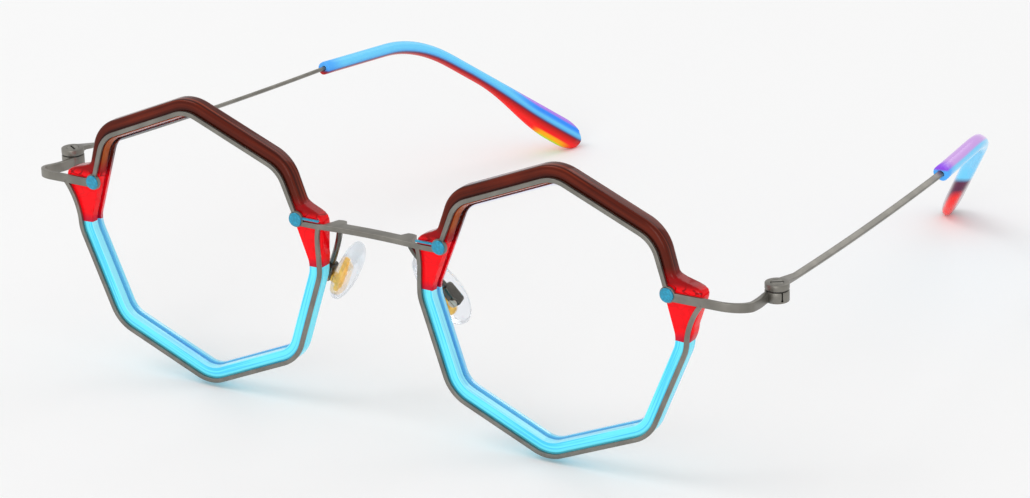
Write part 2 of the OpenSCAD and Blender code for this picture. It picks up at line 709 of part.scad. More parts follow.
module pad_box() {
    half = box_size / 2;
    slot = post_w / 2 + post_play;
    color("dimgray") at_pad() difference() {
        translate(box_at - half) cube(box_size);
        block([0, screw_at[1] - slot, screw_at[2] - 3], screw_at + [0, slot, post_r + post_play]);
        pad_rod(post_r + post_play, -slot, slot);
        pad_rod(pad_screw_r + pin_play, -half[1] - 1, half[1] + 1);
    }
}

module pad_screw() {
    color("silver") at_pad() difference() {
        union() {
            pad_rod(pad_screw_r, -box_size[1] / 2, box_size[1] / 2);
            pad_rod(pad_screw_r + 0.3, -box_size[1] / 2 - 0.35, -box_size[1] / 2);
        }
        translate(screw_at - [0, box_size[1] / 2 + 0.35, 0]) cube([0.2, 0.3, 4], center = true);
    }
}

// Turns a point of the pad's own frame into the part's frame
function turn_x(p, a) = [p[0], p[1] * cos(a) - p[2] * sin(a), p[1] * sin(a) + p[2] * cos(a)];
function turn_y(p, a) = [p[0] * cos(a) + p[2] * sin(a), p[1], p[2] * cos(a) - p[0] * sin(a)];
function turn_z(p, a) = [p[0] * cos(a) - p[1] * sin(a), p[0] * sin(a) + p[1] * cos(a), p[2]];
function from_pad(p) =
    [pad_x, pad_y, -pad_drop] + turn_z(turn_y(turn_x(p, pad_pitch), -pad_lean), -pad_splay);

module pad_arm() {
    root = [arm_x, arm_y, bow(arm_x) - bridge_h / 2];
    foot = from_pad(box_at + [0, 0, box_size[2] / 2]);
    above = from_pad(box_at + [0, 0, box_size[2] / 2 + 1.5]);
    line = [for (k = [0:10]) bezier(root, root - [0, 0, 2], above, foot, k / 10)];
    color("dimgray") skin([for (i = [0:len(line) - 1]) section_ring(line[i],
        i == 0 ? [0, 0.01, -1] : i == 10 ? (foot - above) / norm(foot - above) : way(line, i), 0,
        [for (k = [0:11]) arm_dia / 2 * polar(30 * k)])]);
}

module other_side() {
    mirror([1, 0, 0]) children();
}

bridge();
brow_wire();  // brow_wire_left
other_side() brow_wire();  // brow_wire_right
lower_wire();  // lower_wire_left
other_side() lower_wire();  // lower_wire_right
end_piece();  // end_piece_left
other_side() end_piece();  // end_piece_right
nose_rivet();  // nose_rivet_left
other_side() nose_rivet();  // nose_rivet_right
side_rivet();  // side_rivet_left
other_side() side_rivet();  // side_rivet_right
brow_block();  // brow_block_left
other_side() brow_block();  // brow_block_right
nose_block();  // nose_block_left
other_side() nose_block();  // nose_block_right
side_block();  // side_block_left
other_side() side_block();  // side_block_right
lower_block();  // lower_block_left
other_side() lower_block();  // lower_block_right
lens();  // lens_left
other_side() lens();  // lens_right
hinge_screw();  // hinge_screw_left
other_side() hinge_screw();  // hinge_screw_right
hinge_washer();  // hinge_washer_left
other_side() hinge_washer();  // hinge_washer_right
temple_wire();  // temple_wire_left
other_side() temple_wire();  // temple_wire_right
temple_tip();  // temple_tip_left
other_side() temple_tip();  // temple_tip_right
pad_arm();  // pad_arm_left
other_side() pad_arm();  // pad_arm_right
pad_box();  // pad_box_left
other_side() pad_box();  // pad_box_right
pad_screw();  // pad_screw_left
other_side() pad_screw();  // pad_screw_right
pad_insert();  // pad_insert_left
other_side() pad_insert();  // pad_insert_right
nose_pad();  // nose_pad_left
other_side() nose_pad();  // nose_pad_right
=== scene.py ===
"""Octagonal eyeglasses: spliced acetate rims on a flat metal front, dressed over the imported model."""

from math import atan2, copysign, cos, pi, radians, sin, sqrt, tan, tau
from types import SimpleNamespace

import bmesh
import bpy
from bpy.props import FloatProperty, FloatVectorProperty, PointerProperty
from bpy.types import Operator, Panel, PropertyGroup
from mathutils import Matrix, Vector


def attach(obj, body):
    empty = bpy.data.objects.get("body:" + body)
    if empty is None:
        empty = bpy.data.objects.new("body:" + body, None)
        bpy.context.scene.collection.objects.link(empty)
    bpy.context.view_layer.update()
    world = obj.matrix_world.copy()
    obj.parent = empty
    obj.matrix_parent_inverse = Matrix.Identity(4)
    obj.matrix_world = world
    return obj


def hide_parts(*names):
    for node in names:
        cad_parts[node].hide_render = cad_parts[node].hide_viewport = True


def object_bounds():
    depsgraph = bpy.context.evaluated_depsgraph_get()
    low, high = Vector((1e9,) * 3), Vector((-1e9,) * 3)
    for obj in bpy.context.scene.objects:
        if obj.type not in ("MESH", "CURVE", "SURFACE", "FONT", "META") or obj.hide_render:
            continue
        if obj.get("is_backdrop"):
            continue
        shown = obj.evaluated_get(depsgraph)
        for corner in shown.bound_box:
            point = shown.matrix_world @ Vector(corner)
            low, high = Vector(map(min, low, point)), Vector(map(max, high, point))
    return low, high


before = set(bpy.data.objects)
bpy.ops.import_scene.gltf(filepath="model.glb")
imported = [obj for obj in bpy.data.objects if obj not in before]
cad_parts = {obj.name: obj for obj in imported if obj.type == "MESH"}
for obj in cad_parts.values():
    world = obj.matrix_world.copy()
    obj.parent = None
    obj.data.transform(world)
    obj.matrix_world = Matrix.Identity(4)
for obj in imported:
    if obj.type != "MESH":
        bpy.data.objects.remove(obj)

bl_info = {
    "name": "Octagonal Eyeglasses",
    "version": (1, 0, 0),
    "blender": (4, 5, 0),
    "location": "3D View > Sidebar > Eyeglasses",
    "description": "Builds a pair of eyeglasses with spliced acetate rims on a metal front",
    "category": "Object",
}

MM = 0.001
UP = Vector((0, 0, 1))
BACK = Vector((0, 1, 0))
SIDES = (("_left", 1), ("_right", -1))
SHARP = radians(38)  # edges steeper than this stay crisp
SCREW_TOP = 0.75  # height of the hinge screw's top, where its slot starts
PAST_NOSE = 0.4  # how far the bridge reaches past the nose joint
SPLICE_GAP = 0.01  # between a straight run's rings and those of the next arc
GRAIN = 0.00001  # metres that the grain of plated metal stands up
RIPPLE = 0.00002  # metres that the ripples of a polished surface stand up


# Settings


def mm(name, description, default):
    """A length that the panel shows, given here in millimetres."""
    return FloatProperty(name=name, description=description, default=default * MM, unit="LENGTH", precision=5)


def degrees(name, description, default):
    """An angle that the panel shows, given here in degrees."""
    return FloatProperty(name=name, description=description, default=radians(default), subtype="ANGLE")


def tone(name, description, *display):
    """A colour that the panel shows, given here in display values from 0 to 255."""
    linear = [((v / 255 + 0.055) / 1.055) ** 2.4 if v > 10 else v / 3295 for v in display]
    return FloatVectorProperty(
        name=name, description=description, default=linear, subtype="COLOR", size=3, min=0, max=1
    )


class RimSizes(PropertyGroup):
    lens_gap: mm("Lens gap", "Between the two lenses", 24.2)
    lens_width: mm("Lens width", "Across the opening", 45.8)
    lens_height: mm("Lens height", "From the opening's top to its bottom", 45.2)
    top_rise: mm("Top corner", "Above the bridge", 14.9)
    shoulder_width: mm("Shoulder width", "Between the shoulder corners", 34.8)
    shoulder_rise: mm("Shoulder rise", "Above the bridge", 7.7)
    side_drop: mm("Side drop", "Widest corners, below the bridge", 7.55)
    chin_width: mm("Chin width", "Between the chin corners", 33.9)
    chin_drop: mm("Chin drop", "Chin corners, below the bridge", 23.2)
    lean: mm("Lean", "Top corner, out over the bottom one", 2.1)
    corner_radius: mm("Corner radius", "Of the lens corners", 4.2)
    thickness: mm("Rim thickness", "Acetate, front to back", 2.8)
    edge_round: mm("Edge round", "Radius of the acetate's outer edges", 0.7)
    brow_band: mm("Brow width", "Brow block outside the lens line", 3.5)
    flank_band: mm("Flank width", "Rim on its flanks", 3.1)
    lower_band: mm("Lower width", "Lower block", 2.6)
    brow_slope: mm("Brow slope", "Brow block's front edge stands back", 0.6)
    lower_slope: mm("Lower slope", "Lower block's front edge stands back", 0.15)
    side_lug: mm("Side lug", "Reach of the lug at the temple", 4.7)
    nose_lug: mm("Nose lug", "Reach of the lug at the nose", 3.1)
    lug_drop: mm("Lug drop", "Lug's furthest point, below the bridge", 1.2)
    lug_fall: mm("Lug fall", "Height over which the lug falls back", 4)
    splice_rise: mm("Splice rise", "Above the bridge", 2)
    groove_back: mm("Groove", "Behind the acetate's front", 1.3)
    lens_thickness: mm("Lens thickness", "Front to back", 1.2)


class MetalSizes(PropertyGroup):
    sheet: mm("Sheet", "Thickness of the metal front", 0.6)
    wire: mm("Wire width", "Flat wires from the front", 0.75)
    brow_offset: mm("Brow offset", "Brow wire outside the lens line", 1.2)
    lower_offset: mm("Lower offset", "Lower wire outside the lens line", 2.4)
    nose_x: mm("Nose joint", "Where the lower wire meets the bridge", 9.9)
    side_x: mm("Side joint", "Where the lower wire meets the bar", 62.5)
    bridge_height: mm("Bridge height", "Front face, top to bottom", 0.95)
    bridge_depth: mm("Bridge depth", "Front to back", 2.2)
    bridge_bow: mm("Bridge bow", "Rise of the bridge's middle", 0.25)
    lobe_depth: mm("Lobe depth", "Bridge where it holds the pad arms", 3.6)
    bar_height: mm("Bar height", "Temple bar, top to bottom", 1.5)
    bar_sink: mm("Bar sink", "Temple bar below the bridge's middle", 0.14)
    cap: mm("Rivet cap", "Diameter", 2.45)
    cap_height: mm("Cap height", "In front of the metal", 0.4)
    eye: mm("Rivet eye", "Diameter under the caps", 2.8)
    nose_rivet_rise: mm("Nose rivet", "Above the bridge's middle", 0.65)
    side_rivet_rise: mm("Side rivet", "Above the bridge's middle", 0.15)


class TempleSizes(PropertyGroup):
    hinge_x: mm("Hinge across", "Hinge axis from the middle", 70.1)
    hinge_y: mm("Hinge back", "Hinge axis behind the front", 11.7)
    bend: mm("Bend", "Outside radius of the end piece", 4.2)
    barrel: mm("Barrel", "Diameter", 4)
    ring_height: mm("Ring", "Height of the front's barrel ring", 1.85)
    knuckle_height: mm("Knuckle", "Height of the temple's knuckle", 1.05)
    knuckle_top: mm("Knuckle top", "Above the bridge's middle", 0.75)
    washer: mm("Washer gap", "Between ring and knuckle", 0.19)
    screw_head: mm("Screw head", "Diameter", 2.1)
    wire_length: mm("Wire length", "Bare wire", 70.9)
    wire_toe: degrees("Wire toe", "Inward slope", 4.15)
    wire_fall: degrees("Wire fall", "Downward slope", 3.5)
    wire_sag: mm("Wire sag", "Sag of the middle", 0.5)
    wire_roll: degrees("Wire roll", "About the wire's own length", 32)
    wire_broad: mm("Wire breadth", "Broad side", 1.15)
    wire_thin: mm("Wire thickness", "Narrow side", 0.68)
    tip_straight: mm("Tip straight", "Before the ear bend", 26.7)
    tip_leg: mm("Tip leg", "Behind the ear bend", 43.6)
    tip_toe: degrees("Tip toe", "Inward slope before the bend", 8)
    leg_fall: degrees("Leg fall", "Downward slope", 35.5)
    leg_toe: degrees("Leg toe", "Inward slope", 34)
    ear_bend: mm("Ear bend", "On each side of its corner", 9)
    tip_width: mm("Tip width", "Across", 2.9)
    tip_up: mm("Tip above", "Above the wire", 1.25)
    tip_low: mm("Tip below", "Below the wire, at the mouth", 1.15)
    paddle: mm("Paddle", "Below the wire, at the broad end", 4.7)


class PadSizes(PropertyGroup):
    across: mm("Pad across", "Pad's middle from the mirror plane", 9.3)
    back: mm("Pad back", "Pad's middle behind the front", 7.8)
    drop: mm("Pad drop", "Pad's middle below the bridge", 10.1)
    pitch: degrees("Pad pitch", "Forward tilt of the top", 21)
    pad_lean: degrees("Pad lean", "Top towards the nose", 29.5)
    splay: degrees("Pad splay", "About the upright", 5.5)
    pad_length: mm("Pad length", "Top to bottom", 14.6)
    width: mm("Pad width", "Front to back", 7.6)
    pad_thickness: mm("Pad thickness", "Across", 2.4)
    box_out: mm("Box out", "From the pad's middle", 2.6)
    box_forward: mm("Box forward", "In front of the pad's middle", 1.5)
    box_rise: mm("Box rise", "Above the pad's middle", -1.1)
    arm: mm("Arm wire", "Diameter", 1.05)
    arm_x: mm("Arm across", "Arm's root from the middle", 6.9)
    arm_y: mm("Arm back", "Arm's root behind the front", 2.4)


class GlassesTones(PropertyGroup):
    gunmetal: tone("Gunmetal", "Metal front and temple wires", 132, 129, 122)
    enamel: tone("Enamel", "Rivet caps", 20, 150, 185)
    brown: tone("Brown acetate", "Brow blocks", 94, 28, 12)
    brown_light: tone("Brown streaks", "Streaks in the brow blocks", 150, 64, 36)
    # Brown glow is painted light: the glow of light through the brow blocks, on their inner walls.
    brown_glow: tone("Brown glow", "Inner walls of the brow blocks", 158, 74, 26)
    red: tone("Red acetate", "Nose and side blocks", 255, 8, 22)
    cyan: tone("Cyan acetate", "Lower blocks", 102, 236, 255)
    # Deep cyan paints refraction lines where the lower blocks' inner edges show through; a darker shade of it paints
    # the shade by the wire.
    cyan_deep: tone("Deep cyan", "Lines inside the lower blocks", 58, 204, 250)
    tip_blue: tone("Tip blue", "Light blue sheet", 112, 210, 255)
    tip_deep: tone("Tip deep blue", "Royal blue sheet", 40, 130, 255)
    tip_line: tone("Tip line", "Dark line where blue meets red", 92, 28, 66)
    tip_lilac: tone("Tip lilac", "Lilac sheet", 205, 158, 232)
    tip_violet: tone("Tip violet", "Lilac sheet where it is deep", 150, 84, 235)
    tip_red: tone("Tip red", "Red sheet", 255, 36, 34)
    tip_yellow: tone("Tip yellow", "Lowest sheet", 255, 176, 20)
    tip_green: tone("Tip green", "Lowest sheet's edge", 170, 225, 40)
    insert: tone("Pad insert", "Insert inside the nose pads", 250, 196, 84)
    silicone: tone("Silicone", "Nose pads", 248, 250, 253)
    lens: tone("Lens", "Clear lenses", 255, 255, 255)
    # The lens edge's tone also paints light on the cyan blocks' inner walls.
    lens_edge: tone("Lens edge", "Bevel of the lenses", 236, 238, 249)
    floor: tone("Floor", "Floor and backdrop", 248, 248, 248)


SETTINGS = {"rim": RimSizes, "metal": MetalSizes, "temple": TempleSizes, "pad": PadSizes, "tones": GlassesTones}


def sizes(context):
    """All the panel's sizes, with lengths in millimetres and angles in radians, and the lens line that they give."""
    found = {}
    for group in ("rim", "metal", "temple", "pad"):
        settings = getattr(context.scene, "glasses_" + group)
        for key in SETTINGS[group].__annotations__:
            is_angle = settings.bl_rna.properties[key].unit == "ROTATION"
            found[key] = getattr(settings, key) / (1 if is_angle else MM)
    s = SimpleNamespace(**found)
    s.line = LensLine(s)
    return s


# Small geometry helpers


def lerp(a, b, t):
    return a + (b - a) * t


def smooth(t):
    return (1 - cos(pi * min(1, max(0, t)))) / 2


def polar(angle, radius=1.0):
    return Vector((cos(angle), sin(angle))) * radius


def shares(count):
    return [k / count for k in range(count + 1)]


def middle(ring):
    return sum(ring, Vector((0, 0, 0))) / len(ring)


def bezier(a, b, c, d, t):
    u = 1 - t
    return a * u**3 + b * (3 * t * u * u) + c * (3 * t * t * u) + d * t**3


def rounded(corners, radius, steps=3):
    """A closed outline whose corners are rounded. Each corner is a point, or a point with its own radius."""
    points = [Vector(c[:2]) for c in corners]
    outline = []
    for i, here in enumerate(points):
        r = corners[i][2] if len(corners[i]) > 2 else radius
        before, after = points[i - 1] - here, points[(i + 1) % len(points)] - here
        reach = min(r / tan(before.angle(after) / 2), 0.48 * before.length, 0.48 * after.length) if r else 0
        if reach < 1e-4:
            outline.append(here)
            continue
        start, end = here + before.normalized() * reach, here + after.normalized() * reach
        outline += [start * (1 - t) ** 2 + here * (2 * t * (1 - t)) + end * t * t for t in shares(steps)]
    return outline


def bar_section(width, height, radius=0.12):
    a, b = width / 2, height / 2
    return rounded([(-a, -b), (a, -b), (a, b), (-a, b)], radius)


def section_ring(at, along, section, roll=0.0):
    """A section stood across a direction, with its first axis level and its second one upright before the roll."""
    across = along.cross(UP).normalized()
    upright = across.cross(along).normalized()
    a = across * cos(roll) - upright * sin(roll)
    b = upright * cos(roll) + across * sin(roll)
    return [at + a * p[0] + b * p[1] for p in section]


def ways(line):
    """The direction of a line at each of its points."""
    last = len(line) - 1
    return [(line[min(i + 1, last)] - line[max(i - 1, 0)]).normalized() for i in range(last + 1)]


def soften(rings, reach):
    """Rounds both ends of a skin: each end ring becomes a drawn-in one, one half-way round and one moved in."""
    soft = list(rings)
    for end, inner in ((0, 1), (-1, -2)):
        last, centre = soft[end], middle(soft[end])
        step = middle(soft[inner]) - centre
        step = step.normalized() * min(reach, step.length * 0.4)
        inwards = [(centre - p).normalized() * reach for p in last]
        new = [[p + v * a + step * b for p, v in zip(last, inwards)] for a, b in ((1, 0), (0.3, 0.3), (0, 1))]
        soft = new + soft[1:] if end == 0 else soft[:-1] + new[::-1]
    return soft


class Form:
    """A mesh in the making, in millimetres.

    Its Grain map holds millimetres along, and millimetres round, which end at 0 where each ring starts and are negative
    before that. Its Layer map holds a height that the caller gives.
    """

    def __init__(self):
        self.bm = bmesh.new()
        self.grain = self.bm.loops.layers.uv.new("Grain")
        self.layer = self.bm.loops.layers.uv.new("Layer")

    def skin(self, rings, closed=False, soft=0.0, heights=None):
        """A skin over rings of points that all run the same way round, with an optional height for each point."""
        rings = soften(rings, soft) if soft else rings
        rows = [[self.bm.verts.new(p) for p in ring] for ring in rings]
        count, around = len(rows), len(rows[0])
        spots = [middle(ring) for ring in rings]
        run, rounds = [0.0], []
        for i, spot in enumerate(spots):
            run.append(run[-1] + (spots[(i + 1) % count] - spot).length)
        for ring in rings:
            marks = [0.0]
            for j in range(around - 1, -1, -1):
                marks.insert(0, marks[0] - (ring[(j + 1) % around] - ring[j]).length)
            rounds.append(marks)

        def face(verts, corners):
            for loop, (row, along, j) in zip(self.bm.faces.new(verts).loops, corners):
                loop[self.grain].uv = (run[along], rounds[row][j])
                loop[self.layer].uv = (0, heights[row][j % around] if heights else 0)

        for i in range(count if closed else count - 1):
            n = (i + 1) % count
            for j in range(around):
                k = (j + 1) % around
                corners = ((i, i, j), (n, i + 1, j), (n, i + 1, j + 1), (i, i, j + 1))
                face([rows[i][j], rows[n][j], rows[n][k], rows[i][k]], corners)
        for end in () if closed else (0, count - 1):
            face(rows[end], [(end, end, j) for j in range(around)])
        return self

    def lathe(self, profile, centre, axis, steps=40, ring=False):
        """A skin turned about an axis, from a profile of radius and distance along the axis.

        The profile starts and ends on the axis, or it is closed and makes a ring.
        """
        axis = Vector(axis).normalized()
        side = axis.orthogonal().normalized()
        other, centre = axis.cross(side), Vector(centre)

        def point(radius, rise, k):
            p = polar(tau * k / steps, max(radius, 1e-3))
            return centre + axis * rise + side * p.x + other * p.y

        if ring:
            return self.skin([[point(*p, k) for p in profile] for k in range(steps)], closed=True)
        return self.skin([[point(*p, k) for k in range(steps)] for p in profile])

    def block(self, low, high, turned=Matrix(), radius=0.12):
        """A box with rounded edges, turned by a matrix."""
        low, high = Vector(low), Vector(high)
        size, mid = high - low, (low + high) / 2
        section = bar_section(size.x, size.y, radius)
        rings = [[turned @ (mid + Vector((p.x, p.y, z))) for p in section] for z in (-size.z / 2, size.z / 2)]
        return self.skin(rings, soft=radius)

    def piece(self, name, sign=1):
        """The mesh as an object, in metres, and mirrored where the sign is -1."""
        for vert in self.bm.verts:
            vert.co.x *= sign
            vert.co *= MM
        bmesh.ops.remove_doubles(self.bm, verts=self.bm.verts, dist=1e-7)
        bmesh.ops.recalc_face_normals(self.bm, faces=self.bm.faces)
        mesh = bpy.data.meshes.new(name)
        self.bm.to_mesh(mesh)
        self.bm.free()
        mesh.shade_smooth()
        mesh.set_sharp_from_angle(angle=SHARP)
        piece = bpy.data.objects.new(name, mesh)
        bpy.context.scene.collection.objects.link(piece)
        return piece


def cut(piece, cutter):
    """Takes a cutter out of a piece, and the cutter away."""
    tool = piece.modifiers.new("Cut", "BOOLEAN")
    tool.operation, tool.solver, tool.object, tool.use_self = "DIFFERENCE", "EXACT", cutter, True
    bpy.context.view_layer.update()
    shaped = bpy.data.meshes.new_from_object(piece.evaluated_get(bpy.context.evaluated_depsgraph_get()))
    piece.modifiers.clear()
    old, piece.data = piece.data, shaped
    bpy.data.meshes.remove(old)
    bpy.data.objects.remove(cutter)
    shaped.set_sharp_from_angle(angle=SHARP)


# The rim


class LensLine:
    """The lens outline, and the rim that follows it. Every outline round the lens shares its corner arcs' centres."""

    SIDE, SHOULDER, TOP, NOSE_SHOULDER, NOSE, NOSE_CHIN, BOTTOM, CHIN = range(8)

    def __init__(self, s):
        self.s = s
        mid = (s.lens_gap + s.lens_width) / 2
        wide, shoulder, chin = s.lens_width / 2, s.shoulder_width / 2, s.chin_width / 2
        right = [(wide, -s.side_drop), (shoulder, s.shoulder_rise)]
        left = [(-shoulder, s.shoulder_rise), (-wide, -s.side_drop), (-chin, -s.chin_drop)]
        places = [*right, (0, s.top_rise), *left, (0, s.top_rise - s.lens_height), (chin, -s.chin_drop)]
        self.corners = [Vector((mid + x + s.lean * (z + s.side_drop) / s.lens_height, z)) for x, z in places]
        edges = [self.corners[(i + 1) % 8] - self.corners[i] for i in range(8)]
        raw = [atan2(-e.x, e.y) for e in edges]
        self.angles = [a + (tau if a < raw[0] else 0) for a in raw]
        self.centres = []
        for i in range(8):
            n, m = polar(self.before(i)), polar(self.angles[i])
            self.centres.append(self.corners[i] - (n + m) * s.corner_radius / (1 + n.dot(m)))

    def before(self, i):
        return self.angles[i - 1] - (tau if i == 0 else 0)

    def at_arc(self, i, f):
        """The station at a share of a corner's arc: the arc's centre and the direction from it."""
        return self.centres[i], lerp(self.before(i), self.angles[i], f)

    def at_side(self, i, z):
        """The station on a straight side at a height of the lens line."""
        a, b = self.centres[i], self.centres[(i + 1) % 8]
        t = (z - a.y - self.s.corner_radius * sin(self.angles[i])) / (b.y - a.y)
        return a.lerp(b, t), self.angles[i]

    def spot(self, station, d=0.0):
        """The point at a distance outside the lens line."""
        return station[0] + polar(station[1], self.s.corner_radius + d)

    def arc(self, i, d, f0=0.0, f1=1.0):
        return [self.spot(self.at_arc(i, lerp(f0, f1, t)), d) for t in shares(8)]

    def side_point(self, i, z, d):
        p, v = self.corners[i] + polar(self.angles[i], d), self.corners[(i + 1) % 8] - self.corners[i]
        return Vector((p.x + (z - p.y) * v.x / v.y, z))

    def rivets(self):
        """The places of the temple rivet and the nose rivet."""
        s = self.s
        side = self.side_point(self.SIDE, s.side_rivet_rise, s.brow_offset)
        return side, self.side_point(self.NOSE_SHOULDER, s.nose_rivet_rise, s.brow_offset)

    def share(self, z):
        """How far a height is on its way from the widest corners to the shoulders."""
        return max(0, min(1, (z + self.s.side_drop) / (self.s.side_drop + self.s.shoulder_rise)))

    def lug(self, z):
        """The lug's share of its reach: straight up to its crown, and a smooth fall above it."""
        s, straight = self.s, 0.8
        crown = 2 * (1 - straight) / pi
        if z >= -s.lug_drop:
            return (straight + crown) * smooth((s.lug_fall - s.lug_drop - z) / s.lug_fall)
        t = max(0, (z + s.side_drop) / (s.side_drop - s.lug_drop))
        return t if t < straight else straight + crown * sin(pi / 2 * (t - straight) / (1 - straight))

    def flank(self, i, z):
        """The rim's width on the flank at a corner."""
        lug = self.s.side_lug if i in (self.SIDE, self.SHOULDER) else self.s.nose_lug
        return lerp(self.s.lower_band, self.s.flank_band, self.share(z)) + lug * self.lug(z)

    def width(self, i, f, z):
        """The rim's width at a share of a corner's arc."""
        flank, brow = self.flank(i, z), self.s.brow_band
        shoulders = {self.SHOULDER: lerp(flank, brow, f), self.TOP: brow, self.NOSE_SHOULDER: lerp(brow, flank, f)}
        return {self.SIDE: flank, self.NOSE: flank, **shoulders}.get(i, self.s.lower_band)

    def section(self, band, slope):
        """The rim's section: distance outside the lens line, and depth. It starts at the front inner edge."""
        s = self.s
        front, soft = s.sheet, s.edge_round
        back, groove = front + s.thickness, front + s.groove_back
        groove_depth, groove_width, ledge = 0.5, 0.8, -0.1
        groove_end = groove + groove_width
        inner = [(slope, front, 0.12), (slope * 0.4, groove, 0.05), (groove_depth, groove, 0)]
        inner += [(groove_depth, groove_end, 0), (ledge, groove_end, 0.05), (ledge, back, 0.25)]
        return rounded([*inner, (band, back), (band, front)], soft, 6)

    def ring(self, station, band):
        slope = lerp(self.s.lower_slope, self.s.brow_slope, self.share(self.spot(station).y))
        pairs = [(p.y, self.spot(station, p.x)) for p in self.section(band, slope)]
        return [Vector((q.x, depth, q.y)) for depth, q in pairs]

    def corner_rings(self, i, f0=0.0, f1=1.0, steps=9):
        stations = [(lerp(f0, f1, t), self.at_arc(i, lerp(f0, f1, t))) for t in shares(steps)]
        return [self.ring(at, self.width(i, f, self.spot(at).y)) for f, at in stations]

    def flank_rings(self, i, z0, z1):
        return [self.ring(self.at_side(i, z), self.flank(i, z)) for z in [lerp(z0, z1, t) for t in shares(14)]]

    def flank_end(self, corner, side, nudge):
        """The height where a flank meets the arc of a corner."""
        return self.centres[corner].y + (self.s.corner_radius + nudge) * sin(self.angles[side])


def brow_form(s):
    line = s.line
    shoulder, nose, splice = line.SHOULDER, line.NOSE_SHOULDER, s.splice_rise
    rings = line.flank_rings(line.SIDE, splice, line.flank_end(shoulder, line.SIDE, -SPLICE_GAP))
    for i in (shoulder, line.TOP, nose):
        rings += line.corner_rings(i)
    return Form().skin(rings + line.flank_rings(nose, line.flank_end(nose, nose, -SPLICE_GAP), splice))


def lower_form(s):
    line = s.line
    rings = line.corner_rings(line.NOSE, 0.5, 1, 5)
    for i in (line.NOSE_CHIN, line.BOTTOM, line.CHIN):
        rings += line.corner_rings(i)
    return Form().skin(rings + line.corner_rings(line.SIDE, 0, 0.5, 5))


def side_block_form(s):
    line = s.line
    flank = line.flank_rings(line.SIDE, line.flank_end(line.SIDE, line.SIDE, SPLICE_GAP), s.splice_rise)
    return Form().skin(line.corner_rings(line.SIDE, 0.5, 1, 5) + flank)


def nose_block_form(s):
    line = s.line
    low = line.flank_end(line.NOSE, line.NOSE_SHOULDER, SPLICE_GAP)
    flank = line.flank_rings(line.NOSE_SHOULDER, s.splice_rise, low)
    return Form().skin(flank + line.corner_rings(line.NOSE, 0, 0.5, 5))


def lens_form(s):
    """A lens whose ledge sits in the groove, from levels of distance outside the lens line, and depth."""
    front = s.sheet + s.groove_back + 0.05
    back = front + s.lens_thickness
    levels = [(-6, front + 0.02), (-0.2, front), (0.4, front), (0.45, front + 0.08), (0.45, front + 0.6)]
    levels += [(0.4, front + 0.7), (-0.15, front + 0.7), (-0.15, back - 0.1), (-0.25, back), (-6, back + 0.02)]
    stations = [s.line.at_arc(i, t) for i in range(8) for t in shares(8)]
    rings = []
    for d, y in levels:
        spots = [s.line.spot(station, max(d, -s.corner_radius + 0.1)) for station in stations]
        rings.append([Vector((p.x, y, p.y)) for p in spots])
    return Form().skin(rings, heights=[[d] * len(stations) for d, _ in levels])


# The metal front


def flat_wire_form(s, path):
    """A flat wire along a path seen from the front, as thick as the sheet."""
    section = bar_section(s.wire, s.sheet)
    rings = []
    for at, way in zip(path, ways(path)):
        rings.append([Vector((at.x + way.y * p.x, s.sheet / 2 + p.y, at.y - way.x * p.x)) for p in section])
    return Form().skin(rings, soft=0.1)


def add_eye(form, s, at, soft=0.1):
    """Adds the flat eye under a rivet cap."""
    r, y = s.eye / 2, s.sheet
    profile = [(0, 0), (r - soft, 0), (r - soft * 0.3, soft * 0.3), (r, soft), (r, y - soft), (r - soft, y), (0, y)]
    form.lathe(profile, (at.x, 0, at.y), BACK)


def lower_wire_form(s):
    line, offset = s.line, s.lower_offset
    side_start = Vector((s.side_x, -s.bar_sink - s.bar_height / 2))
    nose_start = Vector((s.nose_x, -s.bridge_height / 2))
    side_end, nose_end = (line.spot(line.at_arc(i, 0.5), offset) for i in (line.SIDE, line.NOSE))
    nose = (nose_start, nose_start + Vector((0.5, -2.4)), nose_end + Vector((0, 2.4)), nose_end)
    side = (side_end, side_end + Vector((0.1, 2.6)), side_start - Vector((1.2, 1.6)), side_start)
    path = [nose_start + Vector((0, 0.3))] + [bezier(*nose, t) for t in shares(12)]
    path += line.arc(line.NOSE, offset, 0.6, 1)
    for i in (line.NOSE_CHIN, line.BOTTOM, line.CHIN):
        path += line.arc(i, offset)
    path += line.arc(line.SIDE, offset, 0, 0.4) + [bezier(*side, t) for t in shares(12)]
    return flat_wire_form(s, path + [side_start + Vector((0.4, 0.5))])


def brow_wire_form(s):
    side, nose = s.line.rivets()
    arcs = [s.line.arc(i, s.brow_offset) for i in (LensLine.SHOULDER, LensLine.TOP, LensLine.NOSE_SHOULDER)]
    return flat_wire_form(s, [side, *sum(arcs, []), nose])


def bridge_rise(s, x):
    return s.bridge_bow * (1 - (x / (s.nose_x + PAST_NOSE)) ** 2)


def bridge_form(s):
    """The bowed bar, deeper where its lobes hold the pad arms and thin where it reaches the rivets."""
    form, half, lobe, nose = Form(), s.nose_x + PAST_NOSE, s.arm_x, s.line.rivets()[1]
    plan = [(0, s.bridge_depth), (lobe - 1.5, s.bridge_depth), (lobe - 0.7, s.lobe_depth - 0.1), (lobe, s.lobe_depth)]
    plan += [(lobe + 0.8, s.lobe_depth - 0.1), (lobe + 1.35, s.bridge_depth - 0.2)]
    plan += [(lobe + 1.9, s.sheet), (half, s.sheet)]

    def depth(x):
        for (x0, y0), (x1, y1) in zip(plan, plan[1:]):
            if x <= x1:
                return lerp(y0, y1, smooth((x - x0) / (x1 - x0)))
        return s.sheet

    rings = []
    for k in range(-60, 61):
        x = (nose.x - 0.6) * k / 60
        y, z = depth(abs(x)), bridge_rise(s, min(abs(x), half))
        rings.append([Vector((x, y / 2 + p.x, z + p.y)) for p in bar_section(y, s.bridge_height, 0.2)])
    form.skin(rings, soft=0.1)
    for _, sign in SIDES:
        add_eye(form, s, Vector((nose.x * sign, nose.y)))
    return form


def ring_levels(s):
    """The heights of the barrel ring's bottom and top."""
    top = s.knuckle_top - s.knuckle_height - s.washer
    return top - s.ring_height, top


